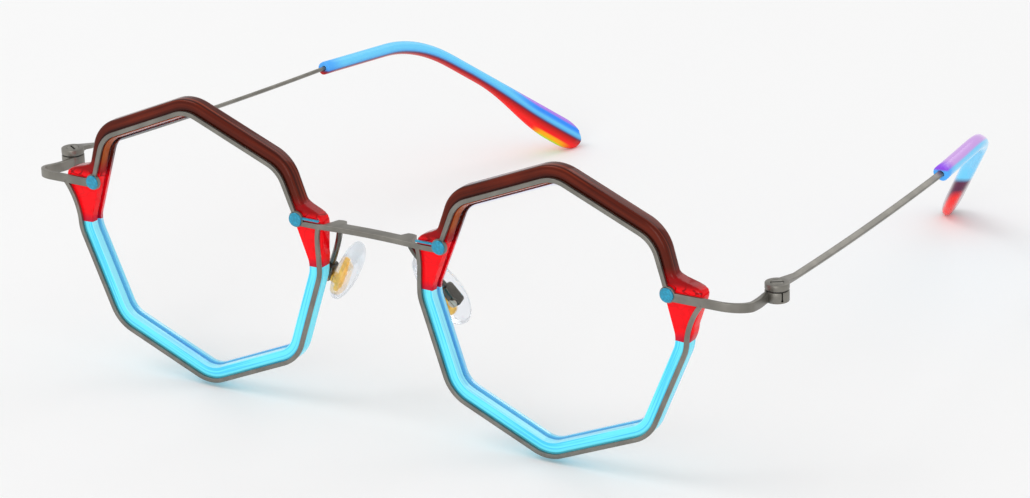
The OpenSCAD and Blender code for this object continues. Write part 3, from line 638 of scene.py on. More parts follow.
def hinge_spin(s, height, angle):
    """A frame on the hinge axis, turned about it."""
    return Matrix.Translation((s.hinge_x, s.hinge_y, height)) @ Matrix.Rotation(radians(angle), 4, "Z")


def barrel_side(s, low, top, soft=0.12):
    """The outer side of a barrel in profile, with rounded edges."""
    r, near = s.barrel / 2, soft * 0.3
    lower = [(r - soft, low), (r - near, low + near), (r, low + soft)]
    return lower + [(r, top - soft), (r - near, top - near), (r - soft, top)]


def end_piece_form(s):
    """The bar, its bend, and a leg that falls, thickens and grows taller on its way to the barrel ring."""
    form, side = Form(), s.line.rivets()[0]
    ring_low, ring_top = ring_levels(s)
    half, mid = s.sheet / 2, -s.bar_sink
    drop = mid + s.bar_height / 2 - ring_top
    barrel_front = s.hinge_y - s.barrel / 2
    leg_end = barrel_front - 0.6
    bend_run, leg_run = (s.bend - half) * pi / 2, leg_end - s.bend
    bend_share = bend_run / (bend_run + leg_run)
    centre = Vector((s.hinge_x - s.bend, s.bend, mid))
    path = [(Vector((x, half, mid)), 0.0) for x in (side.x, centre.x)]
    for t in shares(12)[1:]:
        p = polar(radians(90 * t - 90), s.bend - half)
        path.append((centre + Vector((p.x, p.y, 0)), smooth(t * bend_share)))
    start, end = path[-1][0], Vector((s.hinge_x - 0.5 - half, leg_end, mid))
    path += [(start.lerp(end, t), smooth(lerp(bend_share, 1, t))) for t in shares(8)[1:]]
    path.append((Vector((end.x, barrel_front + 0.9, mid)), 1.0))
    fallen = [at - UP * drop * grown for at, grown in path]
    rings = []
    for at, way, (_, grown) in zip(fallen, ways(fallen), path):
        flat = Vector((way.x, way.y, 0)).normalized()
        out = Vector((flat.y, -flat.x, 0))
        thick, tall = s.sheet + 0.3 * grown, lerp(s.bar_height, s.ring_height, grown)
        centre = at - out * (thick - s.sheet) / 2 - UP * (tall - s.bar_height) / 2
        rings.append([centre + out * p.x + UP * p.y for p in bar_section(thick, tall, 0.12 + 0.2 * grown)])
    form.skin(rings, soft=0.1)
    add_eye(form, s, side)
    bore = 0.62
    profile = [(bore, ring_low), *barrel_side(s, ring_low, ring_top), (bore, ring_top)]
    return form.lathe(profile, (s.hinge_x, s.hinge_y, 0), UP, 48, ring=True)


def seam_cutter(s):
    """The saw cut in the barrel ring that lets the screw clamp it, with its small round end."""
    form, half_cut, low = Form(), 0.12, ring_levels(s)[0]
    spin = hinge_spin(s, low + 0.3, -38)
    form.block((0.3, -half_cut, 0), (s.barrel, half_cut, s.ring_height + 0.5), spin, 0.02)
    out = spin.to_3x3() @ Vector((1, 0, 0))
    return form.lathe([(0, 1.2), (0.2, 1.2), (0.2, 3), (0, 3)], (s.hinge_x, s.hinge_y, low + 0.5), out, 20)


def side_cap_form(s, at=None):
    """An enamelled cap on its pin, with a soft dome and a bevelled rim."""
    at = at or s.line.rivets()[0]
    form, r, front, pin, pin_end = Form(), s.cap / 2, -s.cap_height, 0.45, 2.1
    profile = [(0, front), (r * 0.5, front + 0.012), (r - 0.3, front + 0.03), (r - 0.13, front + 0.06)]
    profile += [(r - 0.05, front + 0.12), (r, front + 0.2), (r, -0.05), (r - 0.05, 0)]
    profile += [(pin, 0), (pin, pin_end - 0.05), (pin - 0.05, pin_end), (0, pin_end)]
    return form.lathe(profile, (at.x, 0, at.y), BACK, 48)


def nose_cap_form(s):
    """The same cap with a short tail."""
    at = s.line.rivets()[1]
    low, top, bend = at.y + 0.15, at.y + 0.5, at.x - 0.65
    form = side_cap_form(s, at).block((9.6, 0.002, low), (bend, 0.4, top), radius=0.05)
    return form.block((bend - 0.6, -0.2, low), (bend, 0.01, top), radius=0.04)


# The hinge and the temple


def screw_form(s):
    low, top, r, shank = ring_levels(s)[0] + 0.02, s.knuckle_top, s.screw_head / 2, 0.6
    profile = [(0, low), (shank - 0.05, low), (shank, low + 0.08), (shank, top - 0.4), (r - 0.04, top - 0.4)]
    profile += [(r, top - 0.34), (r, top - 0.1), (r - 0.05, top - 0.03), (r - 0.13, top), (0, top)]
    return Form().lathe(profile, (s.hinge_x, s.hinge_y, 0), UP, 48)


def slot_cutter(s):
    """The screw driver's slot."""
    half_width, depth = 0.17, 0.2
    return Form().block((-2, -half_width, -depth), (2, half_width, 1), hinge_spin(s, s.knuckle_top, 32), 0.02)


def heading(toe, fall):
    return Vector((-sin(toe) * cos(fall), cos(toe) * cos(fall), -sin(fall)))


class TempleLine:
    """The temple's middle line: the bare wire, the straight of the tip, the ear bend and the leg."""

    def __init__(self, s):
        self.s = s
        self.wire_way, self.tip_way = heading(s.wire_toe, s.wire_fall), heading(s.tip_toe, s.wire_fall)
        self.leg_way = heading(s.leg_toe, s.leg_fall)
        self.root = Vector((s.hinge_x, s.hinge_y, s.knuckle_top - s.knuckle_height / 2 - 0.45))
        self.mouth = self.root + self.wire_way * s.wire_length
        self.ear = self.mouth + self.tip_way * s.tip_straight

    def wire(self, f):
        return self.root + self.wire_way * self.s.wire_length * f - UP * (self.s.wire_sag * 4 * f * (1 - f))

    def leg(self, f):
        return self.ear + self.leg_way * self.s.tip_leg * f

    def tip(self, leg_end, straight=8, bend=14, leg=1):
        """Points from the tip's mouth, round the ear, to a share of the leg, with the steps of each stretch."""
        e, b = self.ear, self.s.ear_bend
        start, end = e - self.tip_way * b, e + self.leg_way * b
        points = [self.mouth.lerp(start, t) for t in shares(straight)[:-1]]
        points += [bezier(start, e - self.tip_way * b / 3, e + self.leg_way * b / 3, end, t) for t in shares(bend)]
        return points + [end.lerp(self.leg(leg_end), t) for t in shares(leg)[1:]]


def temple_wire_form(s):
    """The knuckle with its sunk seat for the screw head, a neck, and the flat wire that runs on inside the tip."""
    form, temple = Form(), TempleLine(s)
    low, top, bore, seat = s.knuckle_top - s.knuckle_height, s.knuckle_top, 0.64, 1.09
    inner = [(seat + 0.07, top), (seat, top - 0.06), (seat, top - 0.44), (bore, top - 0.44)]
    form.lathe([(bore, low), *barrel_side(s, low, top), *inner], (s.hinge_x, s.hinge_y, 0), UP, 48, ring=True)
    neck = ((0.8, 0.4, 2.2, s.knuckle_height - 0.1), (2.0, 0.36, 2.15, 0.9), (2.6, 0.28, 1.95, 0.8))
    rings = []
    for back, rise, width, height in neck:
        rings.append(section_ring(temple.root + Vector((0, back, rise)), BACK, bar_section(width, height, 0.15)))
    section = bar_section(s.wire_broad, s.wire_thin, 0.2)
    line = [(temple.wire(0.1 + 0.9 * t), temple.wire_way) for t in shares(16)[:-1]]
    core = temple.tip(0.7, 3, 8, 3)
    rings += [section_ring(at, way, section, s.wire_roll) for at, way in line + list(zip(core, ways(core)))]
    return form.skin(rings, soft=0.12)


def oval(side, up, low):
    """An outline that is a little fuller than an ellipse."""
    points = [polar(tau * k / 40) for k in range(40)]
    return [Vector((side * copysign(abs(p.x) ** 0.75, p.x), (up if p.y > 0 else low) * p.y)) for p in points]


def temple_tip_form(s):
    """The layered tip, with its bore for the wire. Its Layer map holds the height over the wire's middle."""
    temple, heights, rings = TempleLine(s), [], []
    half, close, play = s.tip_width / 2, 0.88, 0.12

    def ring(at, way, section):
        heights.append([p.y * cos(s.wire_roll) - p.x * sin(s.wire_roll) for p in section])
        rings.append(section_ring(at, way, section, s.wire_roll))

    def end_ring(f):
        """A ring at a share of the leg: the paddle grows below the wire, and closes in a round end."""
        low = lerp(s.tip_low, s.paddle, smooth((f - 0.38) / 0.44))
        drawn = 1 if f < close else sqrt(max(0.003, 1 - ((f - close) / (1 - close)) ** 2))
        lift = (s.tip_up - low) / 2
        narrow = (0.75 + 0.25 * drawn) * (1 if f < 0.97 else lerp(1, drawn, 0.6))
        section = [Vector((p.x, lift + (p.y - lift) * drawn)) for p in oval(half * narrow, s.tip_up, low)]
        ring(temple.leg(f), temple.leg_way, section)

    mouth, way = temple.mouth, temple.tip_way
    body = oval(half, s.tip_up, s.tip_low)
    bore = oval(s.wire_broad / 2 + 0.08, s.wire_thin / 2 + play, s.wire_thin / 2 + play)
    for depth, section in ((6, bore), (0, bore), (0, [p * 0.92 for p in body]), (0.15, body)):
        ring(mouth + way * depth, way, section)
    line = temple.tip(0.24)
    for at, direction in list(zip(line, ways(line)))[1:]:
        ring(at, direction, body)
    for f in [0.27 + 0.61 * t for t in shares(24)]:
        end_ring(f)
    for t in shares(12)[1:]:
        end_ring(close + (1 - close) * sin(pi / 2 * t))
    return Form().skin(rings, heights=heights)


# The nose pads


def pad_frame(s):
    """The nose pad's own frame, with X away from the nose, Y to the back and Z up, and its box's middle in it."""
    spin = Matrix.Rotation(-s.splay, 4, "Z") @ Matrix.Rotation(-s.pad_lean, 4, "Y") @ Matrix.Rotation(s.pitch, 4, "X")
    return Matrix.Translation((s.across, s.back, -s.drop)) @ spin, Vector((s.box_out, -s.box_forward, s.box_rise))


def pad_form(s):
    """A soft drop: levels across the pad, and each one's share of the outline, which is broader below."""
    at, _ = pad_frame(s)
    levels = [(-1, 0.6), (-0.97, 0.72), (-0.85, 0.84), (-0.6, 0.94), (-0.25, 0.99)]
    levels += [(0.1, 1), (0.4, 0.975), (0.7, 0.9), (0.9, 0.8), (1, 0.66)]
    rings = []
    for level, share in levels:
        points = [(cos(tau * k / 48), sin(tau * k / 48)) for k in range(48)]
        x, half_width, half_length = level * s.pad_thickness / 2, s.width / 2 * share, s.pad_length / 2 * share
        rings.append([at @ Vector((x, half_width * c * (1 - 0.16 * d), half_length * d)) for c, d in points])
    return Form().skin(rings)


def insert_form(s):
    """The plate inside the pad with its ridge, its post and the eye that the pad screw goes through."""
    form, (at, box) = Form(), pad_frame(s)
    screw = box - UP
    plate = rounded([(-2.6, -4.3), (-0.4, -4.3), (-0.4, 1.5), (-1.1, 4.6), (-1.9, 4.6), (-2.6, 1.5)], 1.0, 6)
    ridge = rounded([(-1.75, -3.6), (-1.25, -3.6), (-1.3, 3.6), (-1.7, 3.6)], 0.2, 4)
    for outline, faces in ((plate, (-0.1, 0.5)), (ridge, (-0.35, 0.2))):
        form.skin([[at @ Vector((x, p.x, p.y)) for p in outline] for x in faces], soft=0.08)
    form.block((0.3, screw.y - 0.6, screw.z - 0.75), (screw.x - 0.3, screw.y + 0.6, screw.z + 0.75), at, 0.1)
    eye = [(0.5, -0.55), (0.7, -0.6), (0.75, -0.5), (0.75, 0.5), (0.7, 0.6), (0.5, 0.55)]
    return form.lathe(eye, at @ screw, at.to_3x3() @ BACK, 32, ring=True)


def box_form(s):
    at, box = pad_frame(s)
    half = Vector((0.95, 1.1, 2))
    return Form().block(box - half, box + half, at, 0.5)


def box_cutter(s):
    """The mouth of the pad box, which the post goes into."""
    at, box = pad_frame(s)
    return Form().block((0, box.y - 0.72, box.z - 4), (box.x + 0.4, box.y + 0.72, box.z - 0.13), at, 0.05)


def arm_form(s):
    """A round wire that leaves the bridge's lobe downwards and enters the box from above."""
    at, box = pad_frame(s)
    root = Vector((s.arm_x, s.arm_y, bridge_rise(s, s.arm_x) - s.bridge_height / 2))
    foot, above = at @ (box + UP * 2), at @ (box + UP * 3.5)
    line = [bezier(root, root - UP * 2, above, foot, t) for t in shares(20)]
    directions = ways(line)
    directions[0], directions[-1] = Vector((0, 0.01, -1)).normalized(), (foot - above).normalized()
    section = [polar(tau * k / 20, s.arm / 2) for k in range(20)]
    return Form().skin([section_ring(p, way, section) for p, way in zip(line, directions)])


# Finishes


class Value:
    """A shader socket that arithmetic works on, with numbers or other sockets on either side."""

    def __init__(self, finish, socket):
        self.finish, self.socket = finish, socket

    def math(self, operation, *inputs, clamp=False):
        return self.finish.node("Math", *inputs, settings={"operation": operation, "use_clamp": clamp})

    def __add__(self, other):
        return self.math("ADD", self, other)

    def __sub__(self, other):
        return self.math("SUBTRACT", self, other)

    def __rsub__(self, other):
        return self.math("SUBTRACT", other, self)

    def __mul__(self, other):
        return self.math("MULTIPLY", self, other)

    def __truediv__(self, other):
        return self.math("DIVIDE", self, other)

    def __rtruediv__(self, other):
        return self.math("DIVIDE", other, self)

    __radd__, __rmul__ = __add__, __mul__

    def __abs__(self):
        return self.math("ABSOLUTE", self)

    def band(self, centre, width):
        """A mask that is 1 at a value and falls to 0 at a width from it."""
        return self.math("SUBTRACT", 1, abs(self - centre) / width, clamp=True)

    def step(self, start, end):
        """A mask that rises smoothly from 0 to 1 between two values."""
        return self.finish.node("MapRange", self, start, end, settings={"interpolation_type": "SMOOTHSTEP"})

    def part(self, index):
        """One number of a vector."""
        return self.finish.node("SeparateXYZ", self, output=index)


class Finish:
    """One material and its nodes."""

    def __init__(self, name):
        self.material = bpy.data.materials.new(name)
        self.material.use_nodes = True
        self.nodes, self.links = self.material.node_tree.nodes, self.material.node_tree.links
        self.nodes.clear()

    def node(self, kind, *inputs, settings=None, output=0, **sockets):
        """Any node: its settings first, then its sockets by order, where None leaves one alone, or by name."""
        made = self.nodes.new("ShaderNode" + kind)
        for key, value in (settings or {}).items():
            setattr(made, key, value)
        named = [(made.inputs[name.replace("_", " ")], value) for name, value in sockets.items()]
        for socket, value in [*zip(made.inputs, inputs), *named]:
            if isinstance(value, Value):
                self.links.new(value.socket, socket)
            elif value is not None:
                socket.default_value = (*value[:3], 1) if socket.type == "RGBA" else value
        return Value(self, made.outputs[output]) if len(made.outputs) else None

    def spots(self, scale, detail=2.0, stretch=None, vector=None):
        """Noise in the piece's own space or another one, in features per metre or per unit of that one."""
        vector = vector or self.node("TexCoord", output="Object")
        if stretch:
            vector = self.node("Mapping", vector, Scale=stretch)
        return self.node("TexNoise", Vector=vector, Scale=scale, Detail=detail)

    def map(self, name):
        return self.node("UVMap", settings={"uv_map": name})

    def streaks(self, along, around):
        """Noise drawn out along the piece, in features per millimetre along and round."""
        return self.spots(1.0, 2.5, (along, around, 1), self.map("Grain"))

    def height(self):
        """The height of a point of the piece, in millimetres above the bridge's middle."""
        return self.node("TexCoord", output="Object").part(2) * 1000

    def mix(self, factor, a, b):
        """A colour between two others."""
        return self.node("Mix", factor, *[None] * 5, a, b, settings={"data_type": "RGBA"}, output=2)

    def cloudy(self, colour, mask, start, end):
        """A colour that goes from one shade of itself to another."""
        return self.mix(mask, shade(colour, start), shade(colour, end))

    def bump(self, height, distance, strength):
        return self.node("Bump", Height=height, Distance=distance, Strength=strength)

    def clear(self, colour):
        return self.node("BsdfTransparent", colour)

    def done(self, shader):
        self.node("OutputMaterial", shader)
        return self.material

    def surface(self, base, rough, glow=0.0, **sockets):
        """The material with one shader, which can have a painted glow in its own colour."""
        if glow:
            sockets |= {"Emission_Color": base, "Emission_Strength": glow}
        return self.done(self.node("BsdfPrincipled", Base_Color=base, Roughness=rough, **sockets))


def shade(colour, factor):
    return tuple(min(1.0, c * factor) for c in colour)


def gunmetal(t, name="Gunmetal", depth=1.0):
    """Gunmetal plating with a fine grain, and faint clouds in its colour and its gloss from handling."""
    f = Finish(name)
    cloud, fine = f.spots(260, 3), f.spots(5200)
    base = f.cloudy(t.gunmetal, cloud.step(0.3, 0.75), 0.82 * depth, 1.15 * depth)
    rough = 0.32 * depth + cloud * 0.1 + fine * 0.08
    return f.surface(base, rough, Metallic=0.85, Normal=f.bump(fine, GRAIN, 0.5))


def dark_gunmetal(t):
    return gunmetal(t, "Dark gunmetal", 0.5)


def teal_enamel(t):
    """Teal lacquer with fine metallic flecks under a clear coat."""
    f = Finish("Teal enamel")
    fleck = f.spots(3000)
    base, rough = f.cloudy(t.enamel, fleck.step(0.4, 0.7), 0.8, 1.15), 0.28 + fleck * 0.1
    return f.surface(base, rough, Metallic=0.3, Coat_Weight=0.4, Coat_Roughness=0.1)


def brown_acetate(t):
    """Polished brown acetate that turns red at its splices.

    Its streaks follow the rim, with a streakier outer wall. The dark line by the wire is painted shade, the inner
    wall's orange is a painted glow of light through the acetate, and a faint painted glow lights the whole block.
    """
    f = Finish("Brown acetate")
    height, fine = f.height(), f.spots(900)
    around, streak, cloud = f.map("Grain").part(1), f.streaks(0.03, 2.2), f.spots(120, 3)
    wire_shade, wall, lit_inner_wall = around.band(-1.05, 0.4), around.step(-2.2, -3.2), around.step(-9.9, -10.6)
    splice = height.step(5.0, 1.9)
    base = f.cloudy(t.brown, cloud.step(0.3, 0.75), 0.75, 1.1)
    base = f.mix(streak.step(0.52, 0.68) * (0.12 + wall * 0.6), base, t.brown_light)
    base = f.mix(streak.step(0.48, 0.36) * (0.3 + wall * 0.5), base, shade(t.brown, 0.22))
    # Painted shade: a dark line where the wire meets the acetate.
    base = f.mix(wire_shade * 0.9, base, shade(t.brown, 0.1))
    # Painted light: the inner wall glows orange, as light through the acetate would.
    base = f.mix(lit_inner_wall, base, t.brown_glow)
    base = f.mix(splice, base, shade(t.red, 0.3))
    normal = f.bump(fine, RIPPLE, 0.15)
    coat = {"Specular_IOR_Level": 0.12, "Coat_Weight": 0.05, "Coat_Roughness": 0.03}
    # 0.02 is a faint painted glow in the acetate's own colour.
    return f.surface(base, 0.1 + fine * 0.08, 0.02, Normal=normal, **coat)


def red_acetate(t):
    """Translucent red acetate with a painted glow in its own colour. It holds faint dark curls, strongest near its top
    where they paint dark reflections, and darkens towards both its splices.
    """
    f = Finish("Red acetate")
    height, cloud = f.height(), f.spots(420, 1, (1, 0.6, 1.4))
    curl, top_reflections = abs(cloud - 0.5).step(0.05, 0.01), height.step(0.4, 1.2)
    # Faint dark curls everywhere; near the top they are painted dark reflections.
    base = f.mix(curl * (0.12 + top_reflections * 0.75), t.red, shade(t.red, 0.16))
    brown_splice, cyan_splice = height.step(0.9, 2.2), height.step(-5.6, -7.5)
    base = f.mix(brown_splice, base, shade(t.red, 0.3))
    base = f.mix(cyan_splice * 0.5, base, t.tip_line)
    rough = 0.07 + cloud * 0.05
    # 0.06 is a painted glow in the acetate's own colour.
    return f.surface(base, rough, 0.06, Transmission_Weight=0.1, IOR=1.45, Specular_IOR_Level=0.16)


def cyan_acetate(t):
    """Clear-cast cyan acetate with a faint painted glow. Its deeper lines along the rim are painted refraction where
    its inner edges show through; painted shade runs by the wire and painted light lifts its inner wall.
    """
    f = Finish("Cyan acetate")
    around, streak, cloud = f.map("Grain").part(1), f.streaks(0.04, 2.6), f.spots(160)
    wire_shade, lit_inner_wall = around.band(-1.65, 0.24), around.step(-6.5, -6.9)
    # Painted refraction: deeper streaks along the rim where the inner edges show through.
    base = f.mix(streak.step(0.5, 0.62) * 0.9, t.cyan, t.cyan_deep)
    # Painted shade: a dark line where the wire meets the acetate.
    base = f.mix(wire_shade * 0.7, base, shade(t.cyan_deep, 0.25))
    # Painted light: the inner wall, lit less here, is lightened towards the lens edge's tone.
    base = f.mix(lit_inner_wall * 0.2, base, t.lens_edge)
    rough = 0.06 + cloud * 0.05
    # 0.06 is a faint painted glow in the acetate's own colour.
    return f.surface(base, rough, 0.06, Transmission_Weight=0.05, IOR=1.49, Coat_Weight=0.3, Coat_Roughness=0.04)


def layered_acetate(t, lilac, lines, turn_red, dark, yellow):
    """Acetate laminated in sheets: lilac on top, blue, and red below a dark line.

    The sheets are cut at other heights in each tip: the lilac one's height, the dark line's height before, on and
    behind the ear, the stretch along the tip where the red comes up, the dark line's width and the share of yellow.
    """
    f = Finish("Layered acetate")
    along, high, fine = f.map("Grain").part(0), f.map("Layer").part(1), f.spots(900)
    wavy = high + (f.spots(60, 1) - 0.5) * 0.3
    mouth, end = along.step(11, 6.5), along.step(52, 64)
    before, on, behind = lines
    line = before + along.band(46, 16) * (on - before) + along.step(*turn_red) * (behind - before)
    top = wavy - lilac + end * 0.85
    low = wavy - line
    blue = f.mix(mouth * 0.5, t.tip_blue, t.tip_deep)
    blue = f.mix(top.step(-1.3, -0.5) * end * 0.85, blue, t.tip_deep)
    blue = f.mix(low.step(1.0, 0.1) * 0.45, blue, shade(t.tip_deep, 0.7))
    base = f.mix(top.step(-0.25, 0.2), blue, f.mix(mouth + end * 0.5, t.tip_lilac, t.tip_violet))
    red = f.mix(low.step(-0.2, -1.7) * 0.85 + end * 0.1, shade(t.tip_red, 0.42), t.tip_red)
    lowest = high.step(-2.7, -3.2) * along.step(63, 66) * along.step(74, 70) * yellow
    red = f.mix(lowest, red, t.tip_yellow)
    red = f.mix(high.step(-3.5, -4.1) * lowest, red, t.tip_green)
    base = f.mix(low.step(0.12, -0.2), base, red)
    base = f.mix(low.band(0.05 - dark / 4, dark) * (0.6 + dark * 0.6), base, t.tip_line)
    normal = f.bump(fine, RIPPLE, 0.15)
    coat = {"Specular_IOR_Level": 0.16, "Coat_Weight": 0.08, "Coat_Roughness": 0.05}
    # 0.04 is a faint painted glow in the acetate's own colour.
    return f.surface(base, 0.1 + fine * 0.06, 0.04, Normal=normal, **coat)


def tip_acetate_left(t):
    return layered_acetate(t, 0.6, (-4.6, -4.6, -1.2), (48, 62), 1.8, 0)


def tip_acetate_right(t):
    return layered_acetate(t, 1.75, (-0.5, -0.1, -1.0), (50, 68), 0.4, 1)


def clear_lens(t):
    """A clear lens: light and shadows pass, with faint reflections and a lilac tint in its bevelled edge."""
    f = Finish("Clear lens")
    bevel, dust = f.map("Layer").part(1).step(-0.5, 0.2), f.spots(700)
    clear = f.node("MixShader", bevel, f.clear(t.lens), f.clear(t.lens_edge))
    gloss, glint = f.node("BsdfGlossy", Color=(1, 1, 1), Roughness=0.02), f.node("Fresnel", 1.3) * (0.1 + dust * 0.1)
    return f.done(f.node("MixShader", glint, clear, gloss))


def clear_silicone(t):
    """Soft clear silicone with a faint haze."""
    f = Finish("Clear silicone")
    fine = f.spots(1500)
    soft = f.node(
        "BsdfPrincipled", Base_Color=t.silicone, Roughness=0.08 + fine * 0.08, Transmission_Weight=0.95, IOR=1.36,
        Normal=f.bump(fine, RIPPLE, 0.2),
    )
    return f.done(f.node("MixShader", 0.45 + fine * 0.15, f.clear(t.silicone), soft))


def gold_insert(t):
    """Moulded yellow-gold insert in two cloudy shades, with a painted glow in its own colour."""
    f = Finish("Pad insert")
    base, rough = f.cloudy(t.insert, f.spots(700).step(0.35, 0.65), 0.7, 1), 0.22 + f.spots(3000) * 0.15
    # 0.25 is a painted glow, though the insert is no lamp.
    return f.surface(base, rough, 0.25, Metallic=0.1)


def bright_steel(t):
    """Turned screw steel, with painted shade at the bottom of the slot."""
    f = Finish("Screw steel")
    fine, slot_shade = f.spots(4000), f.height().step(SCREW_TOP - 0.03, SCREW_TOP - 0.12)
    # Painted shade: the steel turns near-black below the slot's top.
    base = f.cloudy(t.gunmetal, slot_shade, 1.1, 0.1)
    return f.surface(base, 0.28 + fine * 0.15, Metallic=0.9, Normal=f.bump(fine, GRAIN, 0.4))


def pad_steel(t):
    """Bright steel of the pad screws."""
    f = Finish("Pad screw steel")
    return f.surface(shade(t.gunmetal, 2.2), 0.22 + f.spots(4000) * 0.15, Metallic=1.0)


def dark_washer(t):
    f = Finish("Dark washer")
    return f.surface(shade(t.gunmetal, 0.2), 0.4 + f.spots(4000) * 0.15, Metallic=0.6)


def pale_floor(t):
    f = Finish("Pale floor")
    return f.surface(f.cloudy(t.floor, f.spots(30), 1, 0.995), 0.9, Specular_IOR_Level=0.1)


METALS = (gunmetal, dark_gunmetal, teal_enamel, gold_insert, bright_steel, pad_steel, dark_washer)
ACETATES = (brown_acetate, red_acetate, cyan_acetate, tip_acetate_left, tip_acetate_right)
FINISHES = {make.__name__: make for make in (*METALS, *ACETATES, clear_lens, clear_silicone, pale_floor)}
made_finishes = {}


def finish(context, name):
    """A finish's material, made the first time that a piece asks for it."""
    if name not in made_finishes:
        group = context.scene.glasses_tones
        tones = {key: tuple(getattr(group, key)) for key in GlassesTones.__annotations__}
        made_finishes[name] = FINISHES[name](SimpleNamespace(**tones))
    return made_finishes[name]


# Operators


def add(context, build, name, node, slot, body=None, look=None, cutter=None, sides=SIDES):
    """Adds a piece to each side, in place of a CAD node and on the body that carries it."""
    s, look = sizes(context), look or slot
    for tail, sign in sides:
        piece = build(s).piece(name + tail, sign)
        if cutter:
            cut(piece, cutter(s).piece("cutter", sign))
        piece.data.materials.clear()
        piece.data.materials.append(finish(context, look + tail if look + tail in FINISHES else look))
        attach(piece, body + tail if body else "front")
        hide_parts(node + tail)


def dress_nodes(context, node, look):
    """Gives the CAD nodes that stay in view their finish."""
    for tail, _ in SIDES:
        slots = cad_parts[node + tail].data.materials
        for index in range(len(slots)):
            slots[index] = finish(context, look)


class GLASSES_OT_rim_blocks(Operator):
    """Adds the acetate blocks of the rims: brown over the brow, red at the nose and the temple, and cyan below"""

    bl_idname = "glasses.rim_blocks"
    bl_label = "Rim blocks"

    def execute(self, context):
        add(context, brow_form, "brow_acetate", "brow_block", "brown_acetate")
        add(context, side_block_form, "side_acetate", "side_block", "red_acetate")
        add(context, nose_block_form, "nose_acetate", "nose_block", "red_acetate")
        add(context, lower_form, "lower_acetate", "lower_block", "cyan_acetate")
        return {"FINISHED"}


class GLASSES_OT_lenses(Operator):
    """Adds the lenses"""

    bl_idname = "glasses.lenses"
    bl_label = "Lenses"

    def execute(self, context):
        add(context, lens_form, "lens_glass", "lens", "clear_lens")
        return {"FINISHED"}


class GLASSES_OT_front_wires(Operator):
    """Adds the flat wires over the brow and round the lower rims"""

    bl_idname = "glasses.front_wires"
    bl_label = "Front wires"

    def execute(self, context):
        add(context, brow_wire_form, "brow_flat_wire", "brow_wire", "gunmetal")
        add(context, lower_wire_form, "lower_flat_wire", "lower_wire", "gunmetal")
        return {"FINISHED"}


class GLASSES_OT_bridge(Operator):
    """Adds the bridge with its two lobes and rivet eyes"""

    bl_idname = "glasses.bridge"
    bl_label = "Bridge"

    def execute(self, context):
        add(context, bridge_form, "bridge_bar", "bridge", "gunmetal", sides=(("", 1),))
        return {"FINISHED"}


class GLASSES_OT_end_pieces(Operator):
    """Adds the end pieces with their bends and barrel rings"""

    bl_idname = "glasses.end_pieces"
    bl_label = "End pieces"

    def execute(self, context):
        add(context, end_piece_form, "end_bar", "end_piece", "gunmetal", cutter=seam_cutter)
        return {"FINISHED"}


class GLASSES_OT_rivets(Operator):
    """Adds the enamelled rivet caps on their pins"""

    bl_idname = "glasses.rivets"
    bl_label = "Rivets"

    def execute(self, context):
        add(context, side_cap_form, "side_cap", "side_rivet", "teal_enamel")
        add(context, nose_cap_form, "nose_cap", "nose_rivet", "teal_enamel")
        return {"FINISHED"}


class GLASSES_OT_hinges(Operator):
    """Adds the slotted hinge screws, and gives the washers and pad screws their finish"""

    bl_idname = "glasses.hinges"
    bl_label = "Hinge screws"

    def execute(self, context):
        add(context, screw_form, "hinge_pin", "hinge_screw", "bright_steel", cutter=slot_cutter)
        dress_nodes(context, "hinge_washer", "dark_washer")
        dress_nodes(context, "pad_screw", "pad_steel")
        return {"FINISHED"}


class GLASSES_OT_temples(Operator):
    """Adds the temple wires with their knuckles and layered acetate tips"""

    bl_idname = "glasses.temples"
    bl_label = "Temples"

    def execute(self, context):
        add(context, temple_wire_form, "temple_rod", "temple_wire", "gunmetal", "temple")
        add(context, temple_tip_form, "ear_tip", "temple_tip", "layered_acetate", "temple", "tip_acetate")
        return {"FINISHED"}


class GLASSES_OT_pad_holders(Operator):
    """Adds the wires and boxes that hold the nose pads"""

    bl_idname = "glasses.pad_holders"
    bl_label = "Pad holders"

    def execute(self, context):
        add(context, arm_form, "pad_stem", "pad_arm", "gunmetal", look="dark_gunmetal")
        add(context, box_form, "pad_cup", "pad_box", "gunmetal", look="dark_gunmetal", cutter=box_cutter)
        return {"FINISHED"}


class GLASSES_OT_nose_pads(Operator):
    """Adds the silicone nose pads and their inserts"""

    bl_idname = "glasses.nose_pads"
    bl_label = "Nose pads"

    def execute(self, context):
        add(context, pad_form, "silicone_pad", "nose_pad", "clear_silicone", "pad")
        add(context, insert_form, "insert_plate", "pad_insert", "gold_insert", "pad")
        return {"FINISHED"}


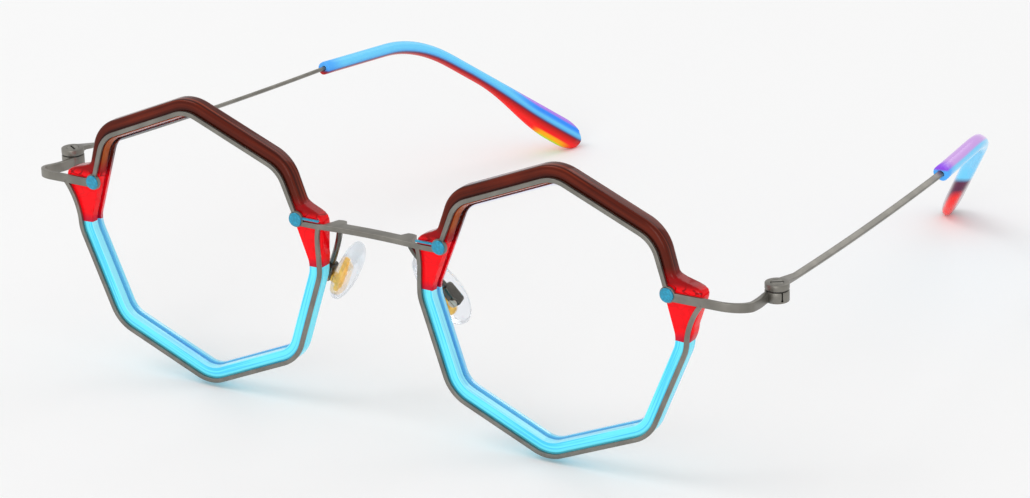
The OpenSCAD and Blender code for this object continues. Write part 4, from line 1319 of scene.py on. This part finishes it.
class GLASSES_OT_stage(Operator):
    """Adds the floor, the lights and the camera"""

    bl_idname = "glasses.stage"
    bl_label = "Stage"

    def execute(self, context):
        scene = context.scene

        def show(name, data):
            made = bpy.data.objects.new(name, data)
            scene.collection.objects.link(made)
            return made

        clearance, reach = 0.00002, 6
        bm = bmesh.new()
        bmesh.ops.create_grid(bm, x_segments=2, y_segments=2, size=reach)
        bmesh.ops.translate(bm, verts=bm.verts, vec=(0, 0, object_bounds()[0].z - clearance))
        mesh = bpy.data.meshes.new("floor")
        bm.to_mesh(mesh)
        bm.free()
        mesh.materials.append(finish(context, "pale_floor"))
        show("floor", mesh)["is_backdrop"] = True

        world = scene.world = bpy.data.worlds.new("Studio")
        world.use_nodes = True
        sky = world.node_tree.nodes["Background"].inputs
        sky["Color"].default_value, sky["Strength"].default_value = (1, 1, 1, 1), 0.76

        lights = (  # name, place, width in metres and power in watts
            ("key", (-0.9, -0.5, 1.5), 0.9, 5.6),
            ("front fill", (0.5, -1.7, 0.45), 1.0, 8.5),
            ("rim", (0.2, 1.5, 1.0), 1.0, 4.0),
        )
        middle_of_glasses = Vector((0, 0.05, -0.01))
        for name, spot, size, power in lights:
            lamp = bpy.data.lights.new(name, "AREA")
            lamp.shape, lamp.size, lamp.energy = "SQUARE", size, power
            lit = show(name, lamp)
            lit.location = spot
            lit.rotation_mode = "QUATERNION"
            lit.rotation_quaternion = (middle_of_glasses - lit.location).to_track_quat("-Z", "Y")

        camera = scene.camera = show("camera", bpy.data.cameras.new("camera"))
        right = Vector((0.85160, 0.52348, -0.02740))
        down = Vector((0.16489, -0.31713, -0.93394))
        ahead = Vector((-0.49758, 0.79082, -0.35639))
        turned = Matrix((right, -down, -ahead)).transposed().to_4x4()
        camera.matrix_world = Matrix.Translation((0.32425, -0.46949, 0.21455)) @ turned
        focal_pixels, picture_width, sensor = 3700, 1030, 36
        camera.data.sensor_width, camera.data.lens = sensor, sensor * focal_pixels / picture_width
        camera.data.clip_start, camera.data.clip_end = 0.01, 20
        scene.view_settings.view_transform = "Standard"
        return {"FINISHED"}


OPERATORS = (
    GLASSES_OT_rim_blocks,
    GLASSES_OT_lenses,
    GLASSES_OT_front_wires,
    GLASSES_OT_bridge,
    GLASSES_OT_end_pieces,
    GLASSES_OT_rivets,
    GLASSES_OT_hinges,
    GLASSES_OT_temples,
    GLASSES_OT_pad_holders,
    GLASSES_OT_nose_pads,
    GLASSES_OT_stage,
)


class GLASSES_PT_panel(Panel):
    bl_label = "Eyeglasses"
    bl_idname = "GLASSES_PT_panel"
    bl_space_type = "VIEW_3D"
    bl_region_type = "UI"
    bl_category = "Eyeglasses"

    def draw(self, context):
        for operator in OPERATORS:
            self.layout.operator(operator.bl_idname)
        for group, kind in SETTINGS.items():
            box = self.layout.box()
            for key in kind.__annotations__:
                box.prop(getattr(context.scene, "glasses_" + group), key)


CLASSES = (*SETTINGS.values(), *OPERATORS, GLASSES_PT_panel)


def register():
    for kind in CLASSES:
        bpy.utils.register_class(kind)
    for group, kind in SETTINGS.items():
        setattr(bpy.types.Scene, "glasses_" + group, PointerProperty(type=kind))


def unregister():
    for group in SETTINGS:
        delattr(bpy.types.Scene, "glasses_" + group)
    for kind in reversed(CLASSES):
        bpy.utils.unregister_class(kind)


def main():
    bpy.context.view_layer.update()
    register()
    for operator in OPERATORS:
        area, name = operator.bl_idname.split(".")
        getattr(getattr(bpy.ops, area), name)()


if __name__ == "__main__":
    main()
